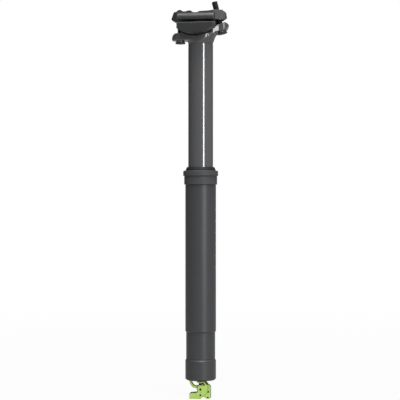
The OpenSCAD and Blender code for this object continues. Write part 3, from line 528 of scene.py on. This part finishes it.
def finish_material(name, colour, *, metal=0.0, rough=0.45, grain=(2600.0, 0.25), turning=None, spread=0.12,
                    wear=None, worn=(0.5, 0.5, 0.5), worn_start=0.3, handling=0.08, coat=0.0, coat_ior=1.5,
                    coat_rough=0.12, specular=0.5, ticks=None, bump=0.05, hollow=None):
    """A finish: the colour varies by spread with the grain's tone, worn edges show worn (on the green a painted
    highlight), hollows are painted dark as painted shade where an amount is given, roughness changes with the
    tone and with handling, and grain and turning lines feed one Bump."""
    made = bpy.data.materials.get(name)
    if made is not None:
        return made
    made = bpy.data.materials.new(name)
    made.use_nodes = True
    tree = made.node_tree
    shader = tree.nodes["Principled BSDF"]
    effects = groups()
    colour = np.array(colour)
    relief = placed(tree, effects["grain"], Scale=grain[0], Depth=grain[1])
    height, tone = relief.outputs["Height"], relief.outputs["Tone"]
    if turning:
        lathe = placed(tree, effects["turning"], Scale=turning[0], Depth=turning[1])
        height = maths(tree, "ADD", height, lathe.outputs["Height"])
        tone = maths(tree, "MULTIPLY", maths(tree, "ADD", tone, lathe.outputs["Tone"]), 0.5)
    shade = blended(tree, tone, tuple(colour * (1 - spread)), tuple(np.minimum(colour * (1 + spread), 1)))
    smears = placed(tree, effects["handling"], Amount=handling)
    roughness = maths(tree, "ADD", smears.outputs["Change"], maths(tree, "ADD", maths(tree, "MULTIPLY", tone, 0.1),
                                                                  rough - 0.05))
    if ticks:
        marks = placed(tree, effects["ticks"], **ticks["values"])
        shade = blended(tree, marks.outputs["Mask"], shade, ticks["colour"])
    if hollow:
        deep = placed(tree, effects["hollow"], Amount=hollow)
        # Painted shade: the sunk places go to a near-black copy of the colour.
        shade = blended(tree, deep.outputs["Mask"], shade, tuple(colour * 0.06))
    if wear:
        edges = placed(tree, effects["wear"], Start=worn_start, Amount=wear)
        shade = blended(tree, edges.outputs["Mask"], shade, worn)
        roughness = maths(tree, "SUBTRACT", roughness, maths(tree, "MULTIPLY", edges.outputs["Mask"], 0.12))
    tree.links.new(shade, shader.inputs["Base Color"])
    tree.links.new(maths(tree, "MAXIMUM", roughness, 0.04), shader.inputs["Roughness"])
    shader.inputs["Metallic"].default_value = metal
    shader.inputs["Specular IOR Level"].default_value = specular
    shader.inputs["Coat Weight"].default_value = coat
    shader.inputs["Coat Roughness"].default_value = coat_rough
    shader.inputs["Coat IOR"].default_value = coat_ior
    surface = tree.nodes.new("ShaderNodeBump")
    surface.inputs["Distance"].default_value = bump * MM
    surface.inputs["Strength"].default_value = 1.0
    tree.links.new(height, surface.inputs["Height"])
    tree.links.new(surface.outputs["Normal"], shader.inputs["Normal"])
    return made


def finishes():
    """Every finish of the seatpost, by name."""
    c = bpy.context.scene.seatpost_finish
    alloy, steel = tuple(c.alloy), tuple(c.steel)
    marks = {"values": {"First": -0.0136, "Step": 0.01154, "Half_thickness": 0.042, "Half_width": 0.0027},
             "colour": tuple(c.tick)}
    return {
        "outer": finish_material("outer_tube_anodise", c.outer_grey, rough=0.39, specular=0.4, grain=(3000, 0.35),
                                 turning=(900, 0.25), wear=0.2, worn=alloy, ticks=marks, handling=0.06),
        "collar": finish_material("collar_anodise", c.collar_grey, rough=0.5, specular=0.2, grain=(3000, 0.2),
                                  turning=(1500, 0.5), wear=0.25, worn=alloy),
        "inner": finish_material("inner_tube_anodise", c.inner_grey, rough=0.4, specular=0.1, coat=1.0, coat_ior=1.9,
                                 coat_rough=0.045, grain=(3500, 0.05), turning=(1200, 0.04), handling=0.04,
                                 spread=0.06, bump=0.02),
        # Head, clamp and green paint shade into their hollows and inner corners.
        "head": finish_material("head_anodise", c.head_grey, rough=0.4, specular=0.15, coat=0.6, coat_ior=1.8,
                                coat_rough=0.08, grain=(2200, 0.3), wear=0.12, worn=alloy, handling=0.05, bump=0.02,
                                hollow=0.5),
        "clamp": finish_material("clamp_blasted", c.clamp_grey, rough=0.42, specular=0.5, grain=(1500, 0.6),
                                 wear=0.2, worn=alloy, handling=0.08, bump=0.05, hollow=0.6),
        # The green's pale edge colour is a painted highlight along the edges.
        "green": finish_material("actuator_green", c.green, metal=0.2, rough=0.36, specular=0.35, grain=(2600, 0.25),
                                 wear=0.45, worn=(0.80, 0.94, 0.52), spread=0.08, bump=0.03, hollow=0.95),
        "bolt": finish_material("bolt_black_oxide", c.bolt_black, rough=0.42, specular=0.28, grain=(2500, 0.3),
                                wear=0.3, worn=(0.16, 0.16, 0.16)),
        "steel": finish_material("bare_steel", steel, metal=1.0, rough=0.3, turning=(1800, 0.3), grain=(3000, 0.1)),
        "washer": finish_material("washer_zinc", (0.10, 0.10, 0.104), metal=0.5, rough=0.42, grain=(2500, 0.3),
                                  wear=0.3, worn=steel),
        "alloy": finish_material("bare_alloy", alloy, metal=1.0, rough=0.34, turning=(1600, 0.3)),
        "brass": finish_material("guide_brass", c.brass, metal=1.0, rough=0.35),
        "rubber": finish_material("seal_rubber", c.rubber, rough=0.62, grain=(4000, 0.4), spread=0.25, specular=0.3),
        "foam": finish_material("oil_foam", c.foam, rough=0.9, grain=(1500, 1.0), spread=0.5, specular=0.2),
        "bearing": finish_material("bushing_plastic", c.bearing, rough=0.5, grain=(2500, 0.3)),
    }


# Operators


def turned_piece(s, name, corners, radii, body, node, finish):
    """A piece turned about Z from a closed profile with rounded corners, which stands for one node."""
    mesh = grid_mesh(name + "_surface", turned(supported(rounded(corners, radii)), s.around), True)
    piece(name + "_turned", mesh, body, [node], finishes()[finish], sharp=40)


class SEATPOST_OT_outer_tube(bpy.types.Operator):
    """Turn the outer tube with its relief, and its collar thread"""

    bl_idname = "seatpost.outer_tube"
    bl_label = "Outer tube"

    def execute(self, context):
        s = context.scene.seatpost_sizes
        foot, top = TUBE[0][2], TUBE[1][2]
        step = foot + s.relief_len
        chamfer = (s.tube_d - s.relief_d) / 2
        corners = [
            (s.tube_bore_d / 2, foot), (s.relief_d / 2, foot), (s.relief_d / 2, step - chamfer), (s.tube_d / 2, step),
            (s.tube_d / 2, -0.55), (s.tube_d / 2 - 0.3, -0.25), (s.thread_d / 2, -0.25), (s.thread_d / 2, top),
            (s.tube_bore_d / 2, top),
        ]
        radii = [0.3, 0.25, 0.9, 0.5, 0.15, 0.1, 0.1, 0.4, 0.4]
        turned_piece(s, "outer_tube", corners, radii, "outer", "lower_tube", "outer")
        return {"FINISHED"}


class SEATPOST_OT_collar(bpy.types.Operator):
    """Turn the collar: its band, undercut and flange"""

    bl_idname = "seatpost.collar"
    bl_label = "Collar"

    def execute(self, context):
        s = context.scene.seatpost_sizes
        top, seat = COLLAR[1][2], WIPER[1][0] + 0.05
        bore = s.thread_d / 2 + 0.05
        corners = [
            (bore, 0), (s.band_d / 2 - 0.35, 0), (s.band_d / 2, 0.35), (s.band_d / 2, s.band_h - 0.5),
            (s.band_d / 2 - 0.25, s.band_h - 0.25), (s.band_d / 2 - 0.25, s.band_h), (s.flange_d / 2 - 0.3, s.band_h),
            (s.flange_d / 2, s.band_h + 0.3), (s.flange_d / 2, top - 0.7), (s.flange_d / 2 - 0.7, top),
            (seat, top), (seat, TUBE[1][2] + 0.1), (bore, TUBE[1][2] + 0.1),
        ]
        radii = [0.1, 0.2, 0.2, 0.15, 0.1, 0.1, 0.2, 0.2, 0.4, 0.4, 0.2, 0.1, 0.1]
        turned_piece(s, "collar", corners, radii, "outer", "collar", "collar")
        return {"FINISHED"}


class SEATPOST_OT_wiper(bpy.types.Operator):
    """Mould the wiper seal with its two lips"""

    bl_idname = "seatpost.wiper"
    bl_label = "Wiper seal"

    def execute(self, context):
        s = context.scene.seatpost_sizes
        low, top, seat = WIPER[0][2], WIPER[1][2], WIPER[1][0]
        base, lip = COLLAR[1][2], s.stanchion_d / 2 + 0.1
        rise = top - base
        corners = [
            (lip + 0.6, low), (seat, low), (seat, base + 0.1), (seat - 0.15, base + 0.35 * rise),
            (seat - 0.7, base + 0.5 * rise), (seat - 0.75, base + 0.68 * rise), (lip + 1.2, top - 0.1),
            (lip + 0.35, top), (lip, top - 0.25), (lip, top - 0.8), (lip + 0.6, top - 1.6),
        ]
        radii = [0.1, 0.1, 0.4, 0.4, 0.4, 0.5, 0.4, 0.15, 0.1, 0.1, 0.3]
        mesh = grid_mesh("wiper_surface", turned(rounded(corners, radii), s.around), True)
        piece("wiper_moulded", mesh, "outer", ["wiper_seal"], finishes()["rubber"], sharp=50)
        return {"FINISHED"}


class SEATPOST_OT_inner_tube(bpy.types.Operator):
    """Turn the inner tube"""

    bl_idname = "seatpost.inner_tube"
    bl_label = "Inner tube"

    def execute(self, context):
        s = context.scene.seatpost_sizes
        foot, top = POST[0][2], POST[1][2]
        outer, bore = s.stanchion_d / 2, s.stanchion_bore_d / 2
        corners = [(bore, foot), (outer - 0.3, foot), (outer, foot + 0.5), (outer, top), (bore, top)]
        radii = [0.2, 0.2, 0.3, 0.05, 0.05]
        turned_piece(s, "inner_tube", corners, radii, "upper_post", "stanchion", "inner")
        return {"FINISHED"}


class SEATPOST_OT_end_ring(bpy.types.Operator):
    """Turn the end ring with its spigot and the recess under it"""

    bl_idname = "seatpost.end_ring"
    bl_label = "End ring"

    def execute(self, context):
        s = context.scene.seatpost_sizes
        foot, top, floor = RING[0][2], RING[1][2], TUBE[0][2]
        outer, recess, roof = s.tube_d / 2, s.tube_d / 2 - 1.6, foot + 8
        spigot = s.tube_bore_d / 2 - 0.05
        rod = 4.05
        chamfer = (s.tube_d - s.relief_d) / 2
        corners = [
            (rod, roof), (recess, roof), (recess, foot), (outer - 1.3, foot), (outer, foot + 1.3),
            (outer, floor - 2), (s.relief_d / 2, floor - 2 + chamfer), (s.relief_d / 2, floor - 0.05),
            (spigot, floor - 0.05), (spigot, top), (spigot - 2.2, top), (spigot - 2.2, floor), (rod, floor),
        ]
        radii = [0.2, 0.6, 0.25, 0.5, 0.8, 0.3, 0.9, 0.1, 0.05, 0.3, 0.3, 0.3, 0.1]
        turned_piece(s, "end_ring", corners, radii, "outer", "end_cap", "outer")
        return {"FINISHED"}


class SEATPOST_OT_forgings(bpy.types.Operator):
    """Round the forged head and the two halves of the rail clamp"""

    bl_idname = "seatpost.forgings"
    bl_label = "Head and clamp"

    def execute(self, context):
        s = context.scene.seatpost_sizes
        for node, name, body, slot, material, passes in (
            ("seat_head", "head_forged", "upper_post", "head", "head", 9),
            ("lower_cradle", "cradle_forged", "rail_clamp", "clamp", "clamp", 1),
            ("upper_clamp", "clamp_forged", "rail_clamp", "clamp", "clamp", 1),
        ):
            mesh = softened(node, s.forging_voxel, passes)
            piece(name, mesh, body, [node], finishes()[material], wear=0.1)
        return {"FINISHED"}


class SEATPOST_OT_actuator(bpy.types.Operator):
    """Tumble the machined fork and rocker of the actuator, and turn its two pins"""

    bl_idname = "seatpost.actuator"
    bl_label = "Actuator"

    def execute(self, context):
        s = context.scene.seatpost_sizes
        for node, name, body, gap in (("actuator_base", "fork_machined", "outer", s.fork_gap),
                                      ("actuator_rocker", "rocker_machined", "rocker", 0)):
            mesh = softened(node, s.machined_voxel, 3)
            # Painted shade on the cut sides and between the plates.
            painted_shade_on_cuts(mesh, gap)
            # The small wear scale puts the green's painted edge highlight on nearly every edge.
            piece(name, mesh, body, [node], finishes()["green"], wear=0.05)
        for node, (low, high) in (("rocker_pivot_pin", PIVOT), ("rocker_stop_pin", STOP)):
            radius, half = (high[0] - low[0]) / 2, high[1] - 0.45
            profile = rounded([(0.02, -half), (radius, -half), (radius, half), (0.02, half)], [0, 0.25, 0.25, 0])
            pin = turned(supported(profile, 0.08), 48)
            pin = np.stack([pin[..., 0], pin[..., 2], pin[..., 1]], -1) + (low + high) * (0.5, 0, 0.5)
            piece(node + "_turned", grid_mesh(node + "_surface", pin, True), "outer", [node],
                  finishes()["bolt"], sharp=40)
        return {"FINISHED"}


def bolt_points(s, reach, columns=72):
    """A saddle bolt along Z with the washer's crown at the origin, one closed shell from the socket's floor, over the
    head's rim and the shank, to the end. Each row has a radius, a height, and a share of hexagon: the hexagon's
    radius at an angle is its half width over the cosine of the angle from the nearest flat. On the thread the radius
    swings with the height and the angle, one pitch a turn."""
    head, seat, half = -s.washer_h - s.bolt_head_h, -s.washer_h, s.bolt_head_d / 2
    hexagon, core, deep = 0.375 * s.bolt_d, s.bolt_d / 2, head + 2.4
    rows = [
        (0.0, deep, 0), (hexagon * 0.98, deep, 1), (hexagon, deep - 0.05, 1), (hexagon, head + 0.25, 1),
        (hexagon * 1.04, head + 0.12, 0.8), (hexagon * 1.2, head, 0), (half - 0.7, head, 0), (half - 0.5, head, 0),
        (half - 0.2, head + 0.12, 0), (half - 0.03, head + 0.36, 0), (half, head + 0.5, 0), (half, seat - 0.25, 0),
        (half - 0.07, seat - 0.07, 0), (half - 0.25, seat, 0), (core + 0.3, seat, 0), (core, seat + 0.3, 0),
    ]
    start = seat + 4
    thread = np.arange(start, reach - 0.9, s.bolt_pitch / 12)
    end = [(core - 0.15, reach - 0.75), (core - 0.75, reach - 0.52), (core - 1.2, reach - 0.5), (0.0, reach - 0.5)]
    table = np.array(rows + [(core, z, 0) for z in (seat + 0.6, start - 0.3)] + [(core, z, 0) for z in thread]
                     + [(r, z, 0) for r, z in end])
    angle = np.arange(columns) * TAU / columns
    r, z, hexed = (table[:, k, None] for k in range(3))
    flat = np.cos((angle + TAU / 12) % (TAU / 6) - TAU / 12)
    swing = np.cos(TAU * (z / s.bolt_pitch) - angle)
    groove = np.clip(0.5 - 0.75 * swing, 0, 1) * 0.55 * s.bolt_pitch * 0.9
    on_thread = ((table[:, 1] >= start) & (table[:, 1] < reach - 0.9) & (table[:, 0] == core))[:, None]
    fade = np.clip((z - start) / s.bolt_pitch, 0, 1)
    r = r * (1 - hexed + hexed / flat) - on_thread * fade * groove
    return np.stack([r * np.cos(angle), r * np.sin(angle), z + 0 * angle], -1)


def washer_points(s, columns=72):
    """A half-round washer along Z with its crown at the origin: rings from the hole over the round top, whose height
    at x is the seat radius less the root of its square less x squared, down the side and back under."""
    hole, rim = s.bolt_d / 2 + 0.05, s.bolt_head_d / 2 - 0.8
    radius = np.array([hole, hole + 0.15, *np.linspace(hole + 0.3, rim - 0.2, 4), rim - 0.05, rim, rim, rim - 0.12,
                       rim - 0.4, hole + 0.2, hole, hole])
    top = np.array([1, 1, 1, 1, 1, 1, 1, 1, 0, 0, 0, 0, 0, 0])
    sunk = np.array([0.15, 0, 0, 0, 0, 0, 0.05, 0.2, -0.15, -0.02, 0, 0, -0.1, -0.3])
    angle = np.arange(columns) * TAU / columns
    x = radius[:, None] * np.cos(angle)
    y = radius[:, None] * np.sin(angle)
    crown = np.sqrt(s.washer_seat_r**2 - x**2) - s.washer_seat_r
    z = np.where(top[:, None] == 1, crown, -s.washer_h) - sunk[:, None]
    return np.stack([x, y, z], -1)


class SEATPOST_OT_bolts(bpy.types.Operator):
    """Roll the threads of the two saddle bolts, and turn their half-round washers"""

    bl_idname = "seatpost.bolts"
    bl_label = "Saddle bolts"

    def execute(self, context):
        s = context.scene.seatpost_sizes
        nut_z = (FRONT_NUT[0][2] + FRONT_NUT[1][2]) / 2
        nut_r = (FRONT_NUT[1][0] - FRONT_NUT[0][0]) / 2
        rear_x = (REAR_NUT[0][0] + REAR_NUT[1][0]) / 2
        crown_z = FRONT_BOLT[0][2] + s.washer_h + s.bolt_head_h
        front = (-(abs(FRONT_BOLT[0][0]) - s.bolt_head_d / 2), 0, crown_z)
        rear = (rear_x + s.rear_grip * math.sin(s.rear_lean), 0, nut_z - s.rear_grip * math.cos(s.rear_lean))
        for side, origin, lean, reach in (
            ("front", front, 0.0, nut_z - crown_z + nut_r - 0.6),
            ("rear", rear, s.rear_lean, s.rear_grip + s.rear_proud),
        ):
            body = side + "_bolt_set"
            bolt = grid_mesh(side + "_bolt_surface", leaned(bolt_points(s, reach), origin, lean), False)
            piece(side + "_bolt_threaded", bolt, body, [side + "_bolt"], finishes()["bolt"],
                  wear=0.08, sharp=50)
            washer = grid_mesh(side + "_washer_surface", leaned(washer_points(s), origin, lean), True)
            piece(side + "_washer_turned", washer, body, [side + "_washer"], finishes()["washer"], sharp=50)
        return {"FINISHED"}


def coil_points(s, columns=12, per_turn=32):
    """A round wire on a helix: its middle goes round at a steady rise, and its surface lies half a wire's diameter
    from the middle. The first and last ring are single points, which close the ends."""
    low, high = SPRING[0][2], SPRING[1][2]
    wire = s.spring_wire_d / 2
    turn = np.linspace(0, s.spring_turns * TAU, s.spring_turns * per_turn + 1)[:, None]
    turn = np.concatenate([turn[:1], turn, turn[-1:]])
    width = np.full(turn.shape, wire)
    width[[0, -1]] = 0
    angle = np.arange(columns) * TAU / columns
    r = SPRING[1][0] - wire + width * np.cos(angle)
    z = low + wire + (high - low - 2 * wire) * turn / turn[-1] + width * np.sin(angle)
    return np.stack([r * np.cos(turn), r * np.sin(turn), z], -1)


class SEATPOST_OT_return_spring(bpy.types.Operator):
    """Wind the valve's return spring, at rest, at the length of its CAD node"""

    bl_idname = "seatpost.return_spring"
    bl_label = "Return spring"

    def execute(self, context):
        s = context.scene.seatpost_sizes
        coil = grid_mesh("return_spring_surface", coil_points(s), False)
        made = piece("return_spring_wound", coil, "outer", ["return_spring"], finishes()["steel"])
        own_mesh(made)
        return {"FINISHED"}


class SEATPOST_OT_inner_parts(bpy.types.Operator):
    """Give the carried-over nodes their finishes"""

    bl_idname = "seatpost.inner_parts"
    bl_label = "Inner parts"

    by_slot = {
        "outer_tube": "outer", "stanchion": "inner", "head": "head", "clamp": "clamp", "green_anodised": "green",
        "black_steel": "bolt", "steel": "steel", "aluminium": "alloy", "brass": "brass", "bearing": "bearing",
        "foam": "foam", "rubber": "rubber",
    }

    def execute(self, context):
        slots = {part["node"]: part["material_slot"] for part in frame["record"]["subparts"]}
        ready = finishes()
        for node, made in frame["nodes"].items():
            made.data.materials.clear()
            made.data.materials.append(ready[self.by_slot[slots[node]]])
        return {"FINISHED"}


class SEATPOST_OT_stage(bpy.types.Operator):
    """Set the pale floor, the white background, the soft lamps and the camera"""

    bl_idname = "seatpost.stage"
    bl_label = "Studio"

    def execute(self, context):
        scene = context.scene
        scene.view_settings.view_transform = "Standard"
        self.floor(scene)
        self.world(scene)
        for lamp in LAMPS:
            self.lamp(scene, *lamp)
        self.camera(scene)
        return {"FINISHED"}

    def floor(self, scene):
        """A wide disc under the lowest point, whose camera rays are mostly plain white, so the shadow stays faint."""
        low = CAD_BOX[0][2] / MM
        angle = np.arange(96) * TAU / 96
        radius = np.array([0.0, 400, 1200, 4000, 12000])[:, None]
        points = np.stack([radius * np.cos(angle), radius * np.sin(angle), low + 0 * radius * angle], -1)
        mesh = bpy.data.meshes.new("studio_floor")
        rows, columns = points.shape[:2]
        i, j = np.meshgrid(np.arange(rows - 1), np.arange(columns), indexing="ij")
        quads = np.stack([i * columns + j, (i + 1) * columns + j, (i + 1) * columns + (j + 1) % columns,
                          i * columns + (j + 1) % columns], -1).reshape(-1, 4)
        mesh.from_pydata(points.reshape(-1, 3) * MM, [], quads)
        made = bpy.data.objects.new("studio_floor", mesh)
        scene.collection.objects.link(made)
        material = bpy.data.materials.new("floor_white")
        material.use_nodes = True
        tree = material.node_tree
        tree.nodes.clear()
        paint = tree.nodes.new("ShaderNodeBsdfDiffuse")
        paint.inputs["Color"].default_value = (0.4, 0.4, 0.4, 1)
        white = tree.nodes.new("ShaderNodeEmission")
        mix = tree.nodes.new("ShaderNodeMixShader")
        out = tree.nodes.new("ShaderNodeOutputMaterial")
        away = tree.nodes.new("ShaderNodeVectorMath")
        away.operation = "LENGTH"
        tree.links.new(object_place(tree), away.inputs[0])
        share = maths(tree, "ADD", 0.95, maths(tree, "MULTIPLY", away.outputs["Value"], 0.04))
        seen = maths(tree, "MULTIPLY", background_rays(tree, 0.35), share, True)
        tree.links.new(seen, mix.inputs[0])
        tree.links.new(paint.outputs[0], mix.inputs[1])
        tree.links.new(white.outputs[0], mix.inputs[2])
        tree.links.new(mix.outputs[0], out.inputs[0])
        mesh.materials.append(material)

    def world(self, scene):
        """White for the rays that show the background, a dim grey for the light that falls on the seatpost. What
        glossy rays meet is white towards the backdrop, and elsewhere a room that is darker to the left, below and
        behind: its grey is the direction's share along the camera's right and along Z, each times a number, less
        the share backward."""
        world = bpy.data.worlds.new("studio_world")
        world.use_nodes = True
        tree = world.node_tree
        tree.nodes.clear()
        dim = tree.nodes.new("ShaderNodeBackground")
        dim.inputs["Color"].default_value = (0.98, 0.98, 1, 1)
        white = tree.nodes.new("ShaderNodeBackground")
        mix = tree.nodes.new("ShaderNodeMixShader")
        out = tree.nodes.new("ShaderNodeOutputWorld")
        a = math.radians(CAMERA["azimuth"])
        way = tree.nodes.new("ShaderNodeTexCoord").outputs["Generated"]
        rightward = along(tree, way, (math.cos(a), math.sin(a), 0))
        backward = along(tree, way, (-math.sin(a), math.cos(a), 0))
        upward = along(tree, way, (0, 0, 1))
        white.inputs["Color"].default_value = (1, 1, 1, 1)
        key = math.radians(LIGHT["key_azimuth"])
        soft = maths(tree, "MULTIPLY", along(tree, way, (math.sin(key), -math.cos(key), 0)), LIGHT["key"], True)
        tree.links.new(maths(tree, "ADD", soft, LIGHT["fill"]), dim.inputs["Strength"])
        room = maths(tree, "ADD", maths(tree, "MULTIPLY", rightward, LIGHT["right"]),
                     maths(tree, "MULTIPLY", upward, LIGHT["up"]))
        room = maths(tree, "ADD", room, LIGHT["room"])
        room = maths(tree, "SUBTRACT", room, maths(tree, "MULTIPLY", backward, LIGHT["back"], True))
        backdrop = maths(tree, "MULTIPLY", maths(tree, "SUBTRACT", backward, LIGHT["backdrop_from"]), 100, True)
        room = maths(tree, "MAXIMUM", room, backdrop)
        glossy = tree.nodes.new("ShaderNodeLightPath").outputs["Is Glossy Ray"]
        level = maths(tree, "ADD", maths(tree, "MULTIPLY", glossy, maths(tree, "SUBTRACT", room, 1)), 1)
        tree.links.new(level, white.inputs["Strength"])
        tree.links.new(background_rays(tree), mix.inputs[0])
        tree.links.new(dim.outputs[0], mix.inputs[1])
        tree.links.new(white.outputs[0], mix.inputs[2])
        tree.links.new(mix.outputs[0], out.inputs[0])
        scene.world = world

    def lamp(self, scene, name, azimuth, elevation, distance, size, strength):
        """A rectangular area lamp turned to the middle of the seatpost. Azimuth 0 stands in front, at -Y."""
        data = bpy.data.lights.new(name, "AREA")
        data.shape = "RECTANGLE"
        data.size, data.size_y = size
        data.energy = strength
        made = bpy.data.objects.new(name, data)
        scene.collection.objects.link(made)
        a, e = math.radians(azimuth), math.radians(elevation)
        way = np.array([math.sin(a) * math.cos(e), -math.cos(a) * math.cos(e), math.sin(e)])
        made.location = way * distance + (0, 0, CAMERA["height"])
        made.rotation_euler = (math.radians(90) - e, 0, a)

    def camera(self, scene):
        """A level camera on a long lens."""
        data = bpy.data.cameras.new("camera")
        data.sensor_width = 36
        data.lens = 18 * CAMERA["distance"] / (CAMERA["view_width"] / 2)
        data.shift_x = -CAMERA["axis_shift"]
        made = bpy.data.objects.new("camera", data)
        scene.collection.objects.link(made)
        a = math.radians(CAMERA["azimuth"])
        made.location = (math.sin(a) * CAMERA["distance"], -math.cos(a) * CAMERA["distance"], CAMERA["height"])
        made.rotation_euler = (math.radians(90), 0, a)
        scene.camera = made


def along(tree, vector, axis):
    """The share of a vector socket along an axis."""
    made = tree.nodes.new("ShaderNodeVectorMath")
    made.operation = "DOT_PRODUCT"
    tree.links.new(vector, made.inputs[0])
    made.inputs[1].default_value = axis
    return made.outputs["Value"]


def background_rays(tree, glossy=1.0):
    """1 for camera and transmission rays, glossy for glossy rays, and 0 for the rays that light a surface."""
    rays = tree.nodes.new("ShaderNodeLightPath")
    mirrored = maths(tree, "MULTIPLY", rays.outputs["Is Glossy Ray"], glossy)
    either = maths(tree, "MAXIMUM", rays.outputs["Is Camera Ray"], mirrored)
    return maths(tree, "MAXIMUM", either, rays.outputs["Is Transmission Ray"])


OPERATORS = (
    SEATPOST_OT_inner_parts, SEATPOST_OT_outer_tube, SEATPOST_OT_collar, SEATPOST_OT_wiper, SEATPOST_OT_inner_tube,
    SEATPOST_OT_end_ring, SEATPOST_OT_forgings, SEATPOST_OT_actuator, SEATPOST_OT_bolts, SEATPOST_OT_return_spring,
    SEATPOST_OT_stage,
)


class SEATPOST_PT_panel(bpy.types.Panel):
    """Lists the steps that dress the seatpost"""

    bl_label = "Seatpost"
    bl_idname = "SEATPOST_PT_panel"
    bl_space_type = "VIEW_3D"
    bl_region_type = "UI"
    bl_category = "Seatpost"

    def draw(self, context):
        for step in OPERATORS:
            self.layout.operator(step.bl_idname)
        for group in (context.scene.seatpost_sizes, context.scene.seatpost_finish):
            box = self.layout.box()
            for label in group.__annotations__:
                box.prop(group, label)


CLASSES = (SeatpostSizes, SeatpostFinish, *OPERATORS, SEATPOST_PT_panel)


def register():
    for item in CLASSES:
        bpy.utils.register_class(item)
    bpy.types.Scene.seatpost_sizes = PointerProperty(type=SeatpostSizes)
    bpy.types.Scene.seatpost_finish = PointerProperty(type=SeatpostFinish)


def unregister():
    del bpy.types.Scene.seatpost_finish
    del bpy.types.Scene.seatpost_sizes
    for item in reversed(CLASSES):
        bpy.utils.unregister_class(item)


def main():
    """Dresses the seatpost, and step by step."""
    register()
    for step in OPERATORS:
        group, name = step.bl_idname.split(".")
        getattr(getattr(bpy.ops, group), name)()


if __name__ == "__main__":
    main()
